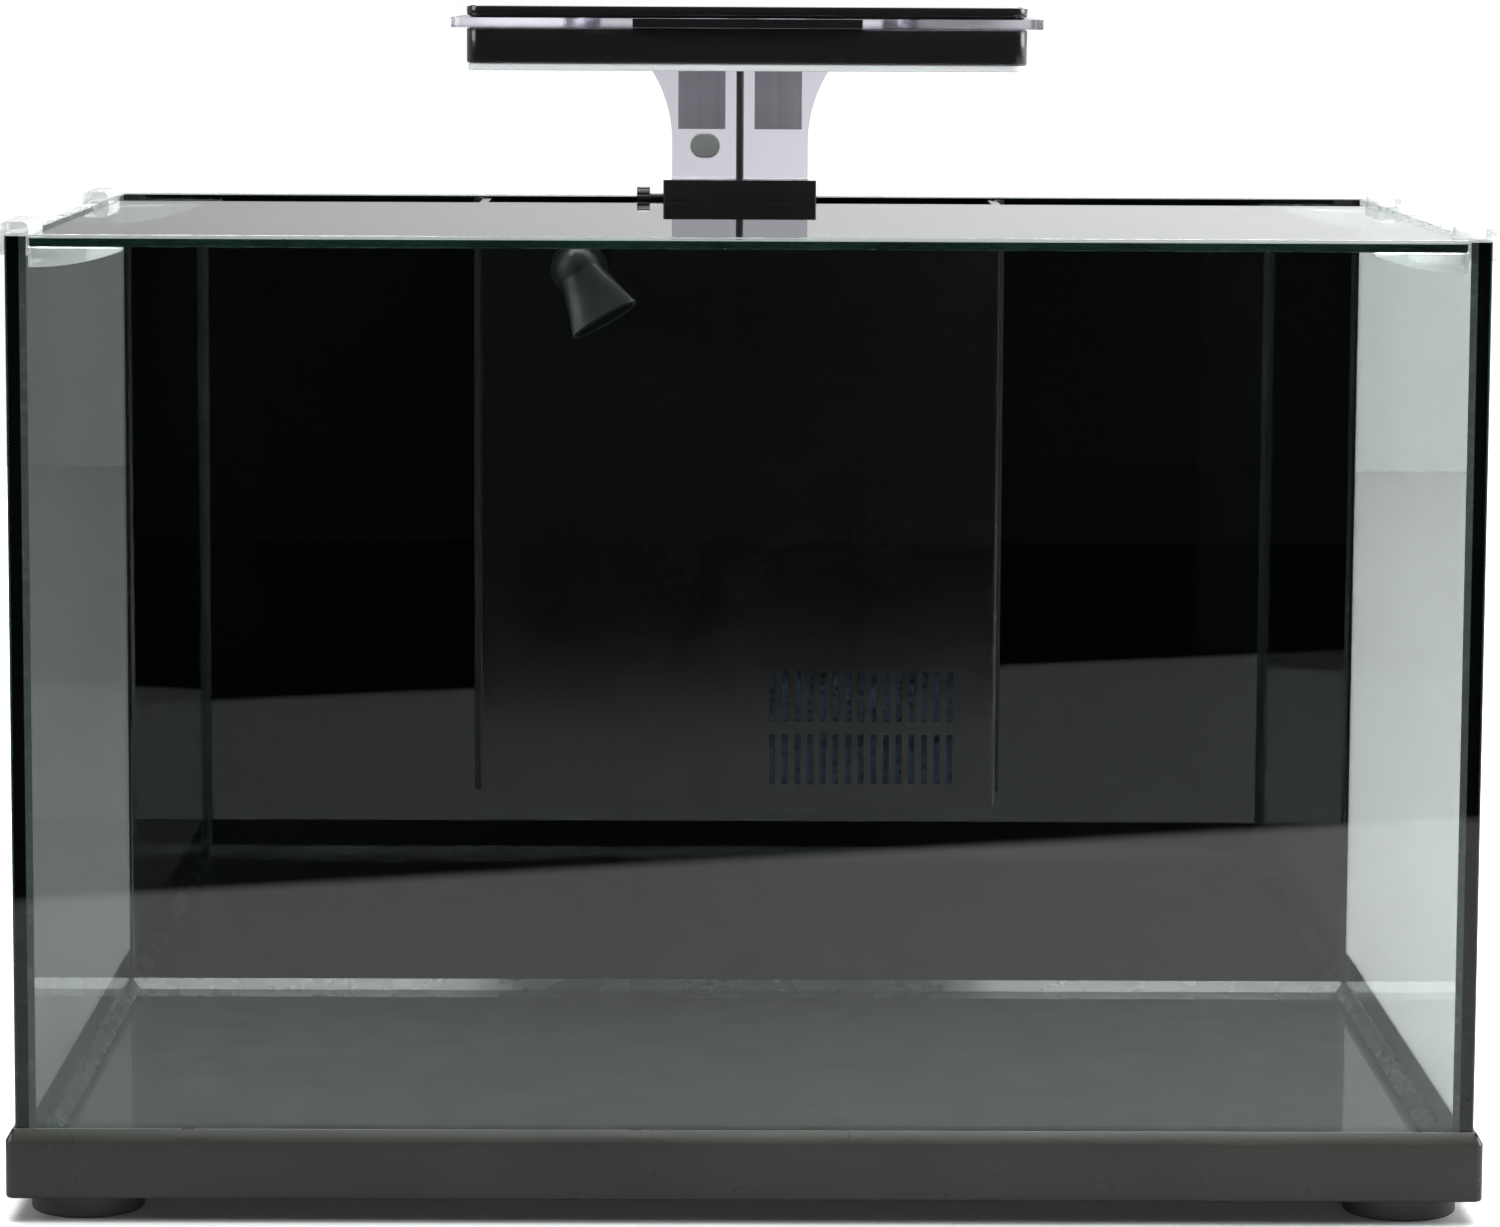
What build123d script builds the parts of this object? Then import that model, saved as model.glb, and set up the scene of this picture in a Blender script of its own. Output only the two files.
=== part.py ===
from build123d import *
import os
from math import cos, pi, radians, sin, tan

os.makedirs("parts", exist_ok=True)

# Aquarium on a low base tray, with a clip-on lamp, an inner filter and a glass lid.
# Millimetres. X runs to the right, Y away from the front, Z up from the surface.
# The origin is on the surface, at the centre of the whole object's footprint.

# ---- Tank and base tray ----
tank_w = 450
tank_d = 300
glass = 4
rim_z = 304
tray_over = 3            # the tray stands out this far beyond the glass
tray_gap = 0.4           # between the tray's wall and the glass
tray_bottom = 7.5
tray_top = 29.2
tray_floor = 2.5
mat_t = 1.5
film_t = 0.4
joint_t = 0.6            # silicone between two panes
bead = 3.5               # silicone fillet along the bottom
corner_bead = 2.2        # silicone fillet in an upright corner
rear_reach = 30          # the clamp's thumb screw stands this far behind the tank

front_y = -(tank_d + rear_reach - tray_over) / 2
rear_y = front_y + tank_d
half_w = tank_w / 2
inner_x = half_w - glass
inner_front = front_y + glass
inner_rear = rear_y - glass
pane_z = tray_bottom + tray_floor + mat_t
floor_z = pane_z + glass

# ---- Feet ----
foot_r = 17.5
foot_x = 205
foot_inset = 23          # from the tray's front and rear walls
screw_head_r = 4
screw_shaft_r = 1.75

# ---- Lid and its clips ----
lid_t = 3
lid_drop = 0.8           # top of the lid below the rim
lid_half = 218
lid_front = front_y + 5
lid_rear = front_y + 253
lid_z = rim_z - lid_drop - lid_t
clip_len = 34
clip_wall = 2.4
clip_rise = 3.6          # cap above the rim
shelf_r = 31
shelf_t = 2.3
shelf_z = lid_z - 0.4 - shelf_t

# ---- Filter case ----
case_x = -1
case_half = 91.5
case_front = front_y + 256
case_wall = 3
case_z = 89
case_top = rim_z - 1
slot_pitch = 4.5
slot_count = 15
slot_w = 2
slot_h = 17.7
slot_rows = (106.3, 128.75)
slot_mid_x = 42.65
baffle_x = 2
baffle_top = 250

# ---- Pump and outlet ----
pump_mid_y = case_front + 21
outlet_x = -57.4
outlet_z = rim_z - 24
pump_z = 107.5           # rotor axis
tube_r = 6.5
tube_bore = 5
elbow_r = 11
nozzle_turn = 30         # degrees that the nozzle is swung to the right at rest
nozzle_dip = 52          # degrees that it points below the horizontal
ball_r = 8.5
run_fit = 0.05           # radial clearance of a turning fit

# ---- Lamp clamp and stem ----
lamp_x = -1
head_x = lamp_x + 1.4
clamp_half = 27.2
clamp_front = front_y + 282
clamp_top = rim_z + 6.2
clamp_low = rim_z - 46
jaw_rear = inner_rear - 0.3
rear_jaw_y = rear_y + 7
clamp_rear = rear_y + 14
screw_z = rim_z - 20
stem_half = 24.15
stem_t = 6
stem_y = clamp_front + 3.5
stem_low = rim_z - 38
flare_z = rim_z + 20     # the stem's sides start to spread here
flare_r = 46.7
slip = 0.35              # clearance between the stem and its socket
lead_r = 1.33
groove_w = 7

# ---- Lamp head ----
plate_z = rim_z + 61.2
plate_t = 3.2
plate_half = 98
plate_front = front_y + 155
head_half = 93
head_front = plate_front + 2
head_rear = plate_front + 98
body_z = rim_z + 49.5
lens_z = rim_z + 47.1
cap_z = rim_z + 64.5
head_top = rim_z + 68.9
head_corner = 6
shell_t = 3

# ---- Free cord ----
cord_r = 1.5
coil_x = 98
coil_y = rear_y + 38
coil_mid_r = 16.5        # middle of the turns
coil_layers = 3          # turns side by side
coil_rows = 4            # turns on top of each other
coil_z = 1.1
relief_len = 12
relief_x = lamp_x + 17


def bar(x0, x1, y0, y1, z0, z1, mode=Mode.ADD):
    """A box between two corners, added to or cut from the piece being built."""
    with Locations(((x0 + x1) / 2, (y0 + y1) / 2, (z0 + z1) / 2)):
        Box(x1 - x0, y1 - y0, z1 - z0, mode=mode)


def rod(x, y, z, r, length, turn=(0, 0, 0), mode=Mode.ADD):
    """A cylinder that starts at a point and runs along +Z, turned by three angles."""
    with Locations(Location((x, y, z), turn)):
        Cylinder(r, length, align=(Align.CENTER, Align.CENTER, Align.MIN), mode=mode)


ALONG_X = (0, 90, 0)
ALONG_Y = (-90, 0, 0)

# ================= Base =================

with BuildPart() as base_tray:
    bar(-half_w - tray_over, half_w + tray_over, front_y - tray_over, rear_y + tray_over,
        tray_bottom, tray_top)
    fillet(base_tray.edges().filter_by(Axis.Z), 3)
    top_face = base_tray.faces().sort_by(Axis.Z)[-1]
    chamfer(top_face.edges(), length=2.2, length2=3.7, reference=top_face)
    fillet(base_tray.faces().sort_by(Axis.Z)[0].edges(), 0.8)
    bar(-half_w - tray_gap, half_w + tray_gap, front_y - tray_gap, rear_y + tray_gap,
        tray_bottom + tray_floor, tray_top + 1, mode=Mode.SUBTRACT)
    with Locations((0, (front_y + rear_y) / 2, tray_bottom + tray_floor / 2)):
        with GridLocations(2 * foot_x, tank_d + 2 * tray_over - 2 * foot_inset, 2, 2):
            Cylinder(screw_shaft_r, tray_floor, mode=Mode.SUBTRACT)
base_tray.part.label = "base_tray"
export_step(base_tray.part, "parts/base_tray.step")

foot_rows = {"front": front_y - tray_over + foot_inset, "rear": rear_y + tray_over - foot_inset}
foot_sides = {"left": -foot_x, "right": foot_x}
for row_name, foot_y in foot_rows.items():
    for side_name, x in foot_sides.items():
        with BuildPart() as foot:
            with Locations((x, foot_y, 0)):
                Cone(foot_r - 0.6, foot_r, tray_bottom,
                     align=(Align.CENTER, Align.CENTER, Align.MIN))
            fillet(foot.edges().sort_by(Axis.Z)[0], 1.2)
            rod(x, foot_y, 0, screw_head_r + 0.8, 4.3, mode=Mode.SUBTRACT)
            rod(x, foot_y, 0, screw_shaft_r, tray_bottom, mode=Mode.SUBTRACT)
        foot.part.label = f"foot_{row_name}_{side_name}"
        export_step(foot.part, f"parts/foot_{row_name}_{side_name}.step")

with BuildPart() as foot_screws:
    for foot_y in foot_rows.values():
        for x in foot_sides.values():
            rod(x, foot_y, 1.9, screw_head_r, 2.4)
            rod(x, foot_y, 4.3, screw_shaft_r, tray_bottom + tray_floor - 4.5)
foot_screws.part.label = "foot_screws"
export_step(foot_screws.part, "parts/foot_screws.step")

with BuildPart() as levelling_mat:
    bar(-half_w + 0.5, half_w - 0.5, front_y + 0.5, rear_y - 0.5, pane_z - mat_t, pane_z)
levelling_mat.part.label = "levelling_mat"
export_step(levelling_mat.part, "parts/levelling_mat.step")

# ================= Glass =================

with BuildPart() as bottom_pane:
    bar(-inner_x + joint_t, inner_x - joint_t, inner_front + joint_t, inner_rear - joint_t,
        pane_z, floor_z)
bottom_pane.part.label = "bottom_pane"
export_step(bottom_pane.part, "parts/bottom_pane.step")

for name, y in (("front_pane", front_y), ("rear_pane", inner_rear)):
    with BuildPart() as long_pane:
        bar(-half_w, half_w, y, y + glass, pane_z, rim_z)
    long_pane.part.label = name
    export_step(long_pane.part, f"parts/{name}.step")

for name, x in (("left_pane", -half_w), ("right_pane", inner_x)):
    with BuildPart() as side_pane:
        bar(x, x + glass, inner_front + joint_t, inner_rear - joint_t, pane_z, rim_z)
    side_pane.part.label = name
    export_step(side_pane.part, f"parts/{name}.step")

with BuildPart() as rear_film:
    bar(-half_w + 0.5, half_w - 0.5, rear_y, rear_y + film_t, pane_z + 0.5, rim_z - 0.4)
rear_film.part.label = "rear_film"
export_step(rear_film.part, "parts/rear_film.step")

# A corner seam fills the joint between two panes and swells into a bead inside the tank.
for row_name, y, into in (("front", inner_front, 1), ("rear", inner_rear, -1)):
    for side_name, side in (("left", -1), ("right", 1)):
        with BuildPart() as seam:
            with BuildSketch(Plane.XY.offset(floor_z + bead)):
                with BuildLine():
                    Polyline((side * half_w, y), (side * (inner_x - corner_bead), y))
                    ThreePointArc((side * (inner_x - corner_bead), y),
                                  (side * (inner_x - 0.36 * corner_bead),
                                   y + into * 0.36 * corner_bead),
                                  (side * inner_x, y + into * corner_bead))
                    Polyline((side * inner_x, y + into * corner_bead),
                             (side * inner_x, y + into * joint_t),
                             (side * half_w, y + into * joint_t), (side * half_w, y))
                make_face()
            extrude(amount=rim_z - 0.6 - floor_z - bead)
        seam.part.label = f"seam_{row_name}_{side_name}"
        export_step(seam.part, f"parts/seam_{row_name}_{side_name}.step")

with BuildPart() as bottom_seam:
    bar(-inner_x, inner_x, inner_front, inner_rear, pane_z, floor_z + bead - 0.1)
    bar(-inner_x + joint_t, inner_x - joint_t, inner_front + joint_t, inner_rear - joint_t,
        pane_z, floor_z, mode=Mode.SUBTRACT)
    with BuildSketch(Plane.XY.offset(floor_z)):
        with Locations((0, (front_y + rear_y) / 2)):
            Rectangle(2 * (inner_x - bead), inner_rear - inner_front - 2 * bead)
    extrude(amount=bead, taper=-45, mode=Mode.SUBTRACT)
bottom_seam.part.label = "bottom_seam"
export_step(bottom_seam.part, "parts/bottom_seam.step")

# ================= Lid and clips =================

clip_outer = half_w + 0.3 + 1.9
bracket_low = shelf_z - 3.5
bracket_r = 75
clip_starts = {"front": inner_front + corner_bead + 0.1, "rear": lid_rear + 2 - clip_len}
for row_name, clip_y in clip_starts.items():
    for side_name, side in (("left", -1), ("right", 1)):
        with BuildPart() as clip:
            xs = sorted((side * (inner_x - 0.2 - clip_wall), side * clip_outer))
            bar(*xs, clip_y, clip_y + clip_len, shelf_z, rim_z + clip_rise)
            outer_top = clip.edges().filter_by(Axis.Y).group_by(Axis.Z)[-1]
            fillet(outer_top, 2.2)
            gap = sorted((side * (inner_x - 0.2), side * (half_w + 0.3)))
            bar(*gap, clip_y, clip_y + clip_len, shelf_z, rim_z + 0.3, mode=Mode.SUBTRACT)
            # The shelf is a quarter disc whose underside is part of a large cylinder.
            with BuildPart(mode=Mode.PRIVATE) as shelf:
                with BuildSketch(Plane.XY.offset(bracket_low)):
                    centre_y = clip_y if row_name == "front" else clip_y + clip_len
                    with Locations((side * (inner_x - 0.2), centre_y)):
                        Circle(shelf_r)
                    keep = sorted((side * (inner_x - 0.2), side * (inner_x - 2 * shelf_r)))
                    with Locations(((keep[0] + keep[1]) / 2, clip_y + clip_len / 2)):
                        Rectangle(keep[1] - keep[0], clip_len, mode=Mode.INTERSECT)
                extrude(amount=shelf_z + shelf_t - bracket_low)
                rod(side * (inner_x - 4), clip_y - 1, bracket_low + bracket_r, bracket_r,
                    clip_len + 2, ALONG_Y, Mode.INTERSECT)
            add(shelf.part)
        clip.part.label = f"lid_clip_{row_name}_{side_name}"
        export_step(clip.part, f"parts/lid_clip_{row_name}_{side_name}.step")

with BuildPart() as lid_glass:
    bar(-lid_half, lid_half, lid_front, lid_rear, lid_z, lid_z + lid_t)
    fillet(lid_glass.edges().filter_by(Axis.Z), 2)
    chamfer(lid_glass.edges().filter_by(Axis.X), 0.4)
lid_glass.part.label = "lid_glass"
export_step(lid_glass.part, "parts/lid_glass.step")

# ================= Filter =================

case_left = case_x - case_half
case_right = case_x + case_half
case_in_front = case_front + case_wall
case_back = inner_rear - 0.3
tube_y = case_in_front + 17.5

with BuildPart() as filter_case:
    bar(case_left, case_right, case_front, case_back, case_z, case_top)
    fillet(filter_case.edges().filter_by(Axis.Z).group_by(Axis.Y)[0], 1.5)
    bar(case_left + case_wall, case_right - case_wall, case_in_front, case_back + 1,
        case_z + case_wall, case_top + 1, mode=Mode.SUBTRACT)
    with Locations((slot_mid_x, case_front, sum(slot_rows) / 2)):
        with Locations(Location((0, 0, 0), (90, 0, 0))):
            with GridLocations(slot_pitch, slot_rows[1] - slot_rows[0], slot_count, 2):
                Box(slot_w, slot_h, 3 * case_wall, mode=Mode.SUBTRACT)
    rod(outlet_x, case_front - 1, outlet_z, tube_r + 0.05, 2 * case_wall, ALONG_Y, Mode.SUBTRACT)
filter_case.part.label = "filter_case"
export_step(filter_case.part, "parts/filter_case.step")

with BuildPart() as filter_baffle:
    bar(baffle_x, baffle_x + 2.4, case_in_front, case_back - 0.4, case_z + case_wall, baffle_top)
    with Locations((baffle_x + 1.2, tube_y, baffle_top - 8)):
        with Locations(Location((0, 0, 0), (0, 90, 0))):
            with GridLocations(9, 5, 1, 4):
                Box(9, 2.5, 6, mode=Mode.SUBTRACT)
filter_baffle.part.label = "filter_baffle"
export_step(filter_baffle.part, "parts/filter_baffle.step")

with BuildPart() as filter_seals:
    for x, out in ((case_left, -1), (case_right, 1)):
        with BuildSketch(Plane.XY.offset(case_z)):
            with BuildLine():
                Polyline((x, inner_rear), (x + out * bead, inner_rear), (x, inner_rear - bead),
                         (x, inner_rear))
            make_face()
        extrude(amount=case_top - case_z)
filter_seals.part.label = "filter_seals"
export_step(filter_seals.part, "parts/filter_seals.step")

with BuildPart() as prefilter_sponge:
    bar(baffle_x + 4, case_right - case_wall - 1.5, case_in_front + 0.4, case_back - 1.5,
        case_z + case_wall + 0.2, 138)
prefilter_sponge.part.label = "prefilter_sponge"
export_step(prefilter_sponge.part, "parts/prefilter_sponge.step")

basket_x0 = 29
basket_x1 = 86
basket_y0 = case_in_front + 1.5
basket_y1 = case_back - 3
basket_z0 = 141
basket_z1 = 288
basket_wall = 1.6
with BuildPart() as media_basket:
    bar(basket_x0, basket_x1, basket_y0, basket_y1, basket_z0, basket_z1)
    bar(basket_x0 + basket_wall, basket_x1 - basket_wall, basket_y0 + basket_wall,
        basket_y1 - basket_wall, basket_z0 + basket_wall, basket_z1 + 1, mode=Mode.SUBTRACT)
    with Locations(((basket_x0 + basket_x1) / 2, (basket_y0 + basket_y1) / 2, basket_z0)):
        with GridLocations(6, 9, 8, 3):
            Box(3.4, 6, 4 * basket_wall, mode=Mode.SUBTRACT)
    with Locations(((basket_x0 + basket_x1) / 2, basket_y0, (basket_z0 + basket_z1) / 2)):
        with Locations(Location((0, 0, 0), (90, 0, 0))):
            with GridLocations(6, 24, 8, 5):
                Box(3, 18, 4 * basket_wall, mode=Mode.SUBTRACT)
    bar((basket_x0 + basket_x1) / 2 - 5, (basket_x0 + basket_x1) / 2 + 5, basket_y0, basket_y1,
        basket_z1 + 6, basket_z1 + 8.4)
    for y in (basket_y0, basket_y1 - basket_wall):
        bar((basket_x0 + basket_x1) / 2 - 5, (basket_x0 + basket_x1) / 2 + 5, y, y + basket_wall,
            basket_z1 - 1, basket_z1 + 8.4)
media_basket.part.label = "media_basket"
export_step(media_basket.part, "parts/media_basket.step")

with BuildPart() as fine_sponge:
    bar(basket_x0 + 2.2, basket_x1 - 2.2, basket_y0 + 2.2, basket_y1 - 2.2, 222, 284)
fine_sponge.part.label = "fine_sponge"
export_step(fine_sponge.part, "parts/fine_sponge.step")

with BuildPart() as ceramic_rings:
    with Locations(((basket_x0 + basket_x1) / 2, (basket_y0 + basket_y1) / 2, 182)):
        with GridLocations(10.4, 11, 5, 2):
            with Locations(*[(0, 0, 13 * step) for step in range(-2, 3)]):
                Cylinder(5, 12)
    with Locations(((basket_x0 + basket_x1) / 2, (basket_y0 + basket_y1) / 2, 182)):
        with GridLocations(10.4, 11, 5, 2):
            Cylinder(2.4, 90, mode=Mode.SUBTRACT)
ceramic_rings.part.label = "ceramic_rings"
export_step(ceramic_rings.part, "parts/ceramic_rings.step")

# ================= Pump and outlet =================

motor_x0 = outlet_x - 27
volute_x0 = outlet_x - 8
volute_x1 = outlet_x + 8
rotor_r = 5.5
with BuildPart() as pump_housing:
    bar(motor_x0, volute_x0, pump_mid_y - 14, pump_mid_y + 14, pump_z - 15, pump_z + 15)
    fillet(pump_housing.edges().filter_by(Axis.X), 4)
    rod(volute_x0, pump_mid_y, pump_z, 14, volute_x1 - volute_x0, ALONG_X)
    rod(outlet_x, tube_y, pump_z + 4, tube_bore - 0.4, 30)
    rod(volute_x0 + 2, pump_mid_y, pump_z, 11, volute_x1 - volute_x0, ALONG_X, Mode.SUBTRACT)
    rod(motor_x0 + 3, pump_mid_y, pump_z, rotor_r + 0.6, 40, ALONG_X, Mode.SUBTRACT)
    rod(motor_x0 + 1.5, pump_mid_y, pump_z, 1.0, 4, ALONG_X, Mode.SUBTRACT)
    rod(outlet_x, tube_y, pump_z, 3.4, 40, mode=Mode.SUBTRACT)
pump_housing.part.label = "pump_housing"
export_step(pump_housing.part, "parts/pump_housing.step")

with BuildPart() as pump_cover:
    rod(volute_x1, pump_mid_y, pump_z, 14, 4, ALONG_X)
    rod(volute_x1 - 2, pump_mid_y, pump_z, 10.9, 2, ALONG_X)
    rod(volute_x1 - 3, pump_mid_y, pump_z, 8, 5, ALONG_X, Mode.SUBTRACT)
    for step in (-1, 0, 1):
        bar(volute_x1 + 1, volute_x1 + 4, pump_mid_y - 9, pump_mid_y + 9,
            pump_z + step * 5 - 1, pump_z + step * 5 + 1)
    bar(volute_x1 + 1, volute_x1 + 4, pump_mid_y - 1.6, pump_mid_y + 1.6, pump_z - 9, pump_z + 9)
    rod(volute_x1 - 2, pump_mid_y, pump_z, 1.0, 4.5, ALONG_X, Mode.SUBTRACT)
pump_cover.part.label = "pump_cover"
export_step(pump_cover.part, "parts/pump_cover.step")

with BuildPart() as impeller_shaft:
    rod(motor_x0 + 1.5, pump_mid_y, pump_z, 1.0, volute_x1 + 2.4 - motor_x0 - 1.5, ALONG_X)
impeller_shaft.part.label = "impeller_shaft"
export_step(impeller_shaft.part, "parts/impeller_shaft.step")

with BuildPart() as impeller:
    rod(motor_x0 + 4, pump_mid_y, pump_z, rotor_r, volute_x0 - motor_x0 - 1, ALONG_X)
    for step in range(6):
        with Locations(Location((volute_x0 + 5.5, pump_mid_y, pump_z), (60 * step, 0, 0))):
            Box(6, 1.4, 9, align=(Align.CENTER, Align.CENTER, Align.MIN))
    rod(motor_x0 + 3, pump_mid_y, pump_z, 1.0 + run_fit, 60, ALONG_X, Mode.SUBTRACT)
impeller.part.label = "impeller"
export_step(impeller.part, "parts/impeller.step")

with BuildPart() as pump_grommet:
    rod(motor_x0 + 8, pump_mid_y, pump_z + 15, 4, 2)
    rod(motor_x0 + 8, pump_mid_y, pump_z + 17, 2.8, 5)
pump_grommet.part.label = "pump_grommet"
export_step(pump_grommet.part, "parts/pump_grommet.step")

riser_top = outlet_z - elbow_r - 3
with BuildPart() as riser_tube:
    rod(outlet_x, tube_y, pump_z + 16, tube_r, riser_top - pump_z - 16)
    rod(outlet_x, tube_y, pump_z + 16, tube_bore - 0.4, 20, mode=Mode.SUBTRACT)
    rod(outlet_x, tube_y, pump_z + 16, tube_bore - 0.8, 200, mode=Mode.SUBTRACT)
riser_tube.part.label = "riser_tube"
export_step(riser_tube.part, "parts/riser_tube.step")

# The elbow turns the riser forward through the case wall and ends in a thin flange.
with BuildPart() as outlet_elbow:
    with BuildLine() as elbow_path:
        elbow_up = Line((outlet_x, tube_y, riser_top), (outlet_x, tube_y, outlet_z - elbow_r))
        elbow_bend = TangentArc(elbow_up @ 1, (outlet_x, tube_y - elbow_r, outlet_z),
                                tangent=elbow_up % 1)
        Line(elbow_bend @ 1, (outlet_x, case_front - 2, outlet_z))
    with BuildSketch(Plane((outlet_x, tube_y, riser_top))):
        Circle(tube_r)
    sweep(path=elbow_path.wires()[0])
    rod(outlet_x, case_front - 2, outlet_z, tube_r + 3.5, 1.9, ALONG_Y)
    with BuildSketch(Plane((outlet_x, tube_y, riser_top))):
        Circle(tube_bore)
    sweep(path=elbow_path.wires()[0], mode=Mode.SUBTRACT)
outlet_elbow.part.label = "outlet_elbow"
export_step(outlet_elbow.part, "parts/outlet_elbow.step")

# The nozzle is a ball on a short stub that turns in the elbow, with a flat duckbill mouth.
ball_y = case_front - 2.6 - ball_r + 2
turn = radians(nozzle_turn)
dip = radians(nozzle_dip)
nozzle_way = Vector(sin(turn) * sin(dip), -cos(dip), -cos(turn) * sin(dip))
mouth_way = Vector(cos(turn), 0, sin(turn))
ball_mid = Vector(outlet_x, ball_y, outlet_z)


def nozzle_plane(along):
    """A plane across the nozzle, at a distance from the middle of its ball."""
    return Plane(ball_mid + nozzle_way * along, x_dir=mouth_way, z_dir=nozzle_way)


with BuildPart() as outlet_nozzle:
    with Locations(ball_mid):
        Sphere(ball_r)
    with BuildSketch(nozzle_plane(2)):
        Ellipse(7.6, 7.4)
    with BuildSketch(nozzle_plane(14)):
        Ellipse(10.2, 4.9)
    with BuildSketch(nozzle_plane(24)):
        Ellipse(12.8, 3.4)
    loft()
    bar(outlet_x - 12, outlet_x + 12, case_front - 2.4, case_front + 12, outlet_z - 12,
        outlet_z + 12, mode=Mode.SUBTRACT)
    rod(outlet_x, ball_y, outlet_z, tube_bore - run_fit, case_front + 3 - ball_y, ALONG_Y)
    with BuildSketch(nozzle_plane(3)):
        Ellipse(4.4, 4.2)
    with BuildSketch(nozzle_plane(14)):
        Ellipse(8.4, 3.1)
    with BuildSketch(nozzle_plane(24.5)):
        Ellipse(11.4, 1.9)
    loft(mode=Mode.SUBTRACT)
    rod(outlet_x, ball_y - 2, outlet_z, 3.6, 30, ALONG_Y, Mode.SUBTRACT)
outlet_nozzle.part.label = "outlet_nozzle"
export_step(outlet_nozzle.part, "parts/outlet_nozzle.step")

# ================= Lamp clamp =================

socket_half = stem_half + slip
socket_y0 = stem_y - slip
socket_y1 = stem_y + stem_t + slip
screw_r = 3
knob_y = clamp_rear + 3.5

with BuildPart() as lamp_clamp:
    bar(lamp_x - clamp_half, lamp_x + clamp_half, clamp_front, jaw_rear, clamp_low, clamp_top)
    bar(lamp_x - clamp_half, lamp_x + clamp_half, jaw_rear - 1, clamp_rear, rim_z + 1, clamp_top)
    bar(lamp_x - clamp_half, lamp_x + clamp_half, rear_jaw_y, clamp_rear, clamp_low + 8, clamp_top)
    fillet(lamp_clamp.edges().filter_by(Axis.Z), 0.8)
    bar(lamp_x - socket_half, lamp_x + socket_half, socket_y0, socket_y1, stem_low - 0.5,
        clamp_top + 1, mode=Mode.SUBTRACT)
    rod(lamp_x, rear_jaw_y - 1, screw_z, screw_r + run_fit, 20, ALONG_Y, Mode.SUBTRACT)
    rod(lamp_x - clamp_half - 1, stem_y + stem_t / 2, rim_z - 0.3, 1.5 + run_fit, 8, ALONG_X,
        Mode.SUBTRACT)
    rod(relief_x, rear_jaw_y + 3.7, clamp_low, cord_r + 0.1, rim_z + 3 - clamp_low,
        mode=Mode.SUBTRACT)
    rod(relief_x, socket_y1 - 1, rim_z + 3.2, cord_r + 0.1, rear_jaw_y + 5 - socket_y1, ALONG_Y,
        Mode.SUBTRACT)
lamp_clamp.part.label = "lamp_clamp"
export_step(lamp_clamp.part, "parts/lamp_clamp.step")

with BuildPart() as clamp_pad:
    rod(lamp_x, rear_y + film_t + 0.4, screw_z, 7.5, 1.6, ALONG_Y)
    rod(lamp_x, rear_y + film_t + 2, screw_z, 4.2, 1.6, ALONG_Y)
    rod(lamp_x, rear_y + film_t + 1.6, screw_z, 2 + run_fit, 4, ALONG_Y, Mode.SUBTRACT)
clamp_pad.part.label = "clamp_pad"
export_step(clamp_pad.part, "parts/clamp_pad.step")

with BuildPart() as clamp_screw:
    rod(lamp_x, rear_y + film_t + 1.9, screw_z, 2, 2.3, ALONG_Y)
    rod(lamp_x, rear_y + film_t + 4, screw_z, screw_r, knob_y - rear_y - film_t - 3, ALONG_Y)
    rod(lamp_x, knob_y, screw_z, 11, rear_y + rear_reach - knob_y, ALONG_Y)
    fillet(clamp_screw.edges().sort_by(Axis.Y)[-1], 1.5)
    with Locations(Location((lamp_x, knob_y, screw_z), ALONG_Y)):
        with PolarLocations(12, 12):
            Cylinder(1.8, 60, mode=Mode.SUBTRACT)
clamp_screw.part.label = "clamp_screw"
export_step(clamp_screw.part, "parts/clamp_screw.step")

# The lock screw bears on the stem through a nylon tip; its knob is left of the clamp.
lock_y = stem_y + stem_t / 2
lock_z = rim_z - 0.3
ear_in = lamp_x - socket_half
ear_out = lamp_x - clamp_half
with BuildPart() as lock_tip:
    rod(ear_in - 1.1, lock_y, lock_z, 1.3, 1.1, ALONG_X)
    rod(ear_in - 1.1, lock_y, lock_z, 0.6 + run_fit, 0.7, ALONG_X, Mode.SUBTRACT)
lock_tip.part.label = "lock_tip"
export_step(lock_tip.part, "parts/lock_tip.step")

with BuildPart() as lock_screw:
    rod(ear_in - 1.5, lock_y, lock_z, 0.6, 1.0, ALONG_X)
    rod(ear_out - 5.5, lock_y, lock_z, 1.5, ear_in - 1.5 - ear_out + 5.5, ALONG_X)
    rod(ear_out - 9.4, lock_y, lock_z, 4, 4.6, ALONG_X)
    with Locations(Location((ear_out - 9.4, lock_y, lock_z), ALONG_X)):
        with PolarLocations(4.4, 10):
            Cylinder(0.8, 30, mode=Mode.SUBTRACT)
lock_screw.part.label = "lock_screw"
export_step(lock_screw.part, "parts/lock_screw.step")

# ================= Lamp stem =================

flare_h = plate_z - flare_z
flare_dx = flare_r - (flare_r**2 - flare_h**2) ** 0.5
flare_mid_h = flare_h / 2
flare_mid_dx = flare_r - (flare_r**2 - flare_mid_h**2) ** 0.5
stem_top_half = stem_half + flare_dx
plate_rear = stem_y + stem_t
plate_waist = head_rear + 6
insert_half = 8.5
insert_offset = 13.6
insert_low = rim_z + 24
button_x = lamp_x - 12.4
button_z = rim_z + 18.3
button_w = 10.6
button_h = 8.6

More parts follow.
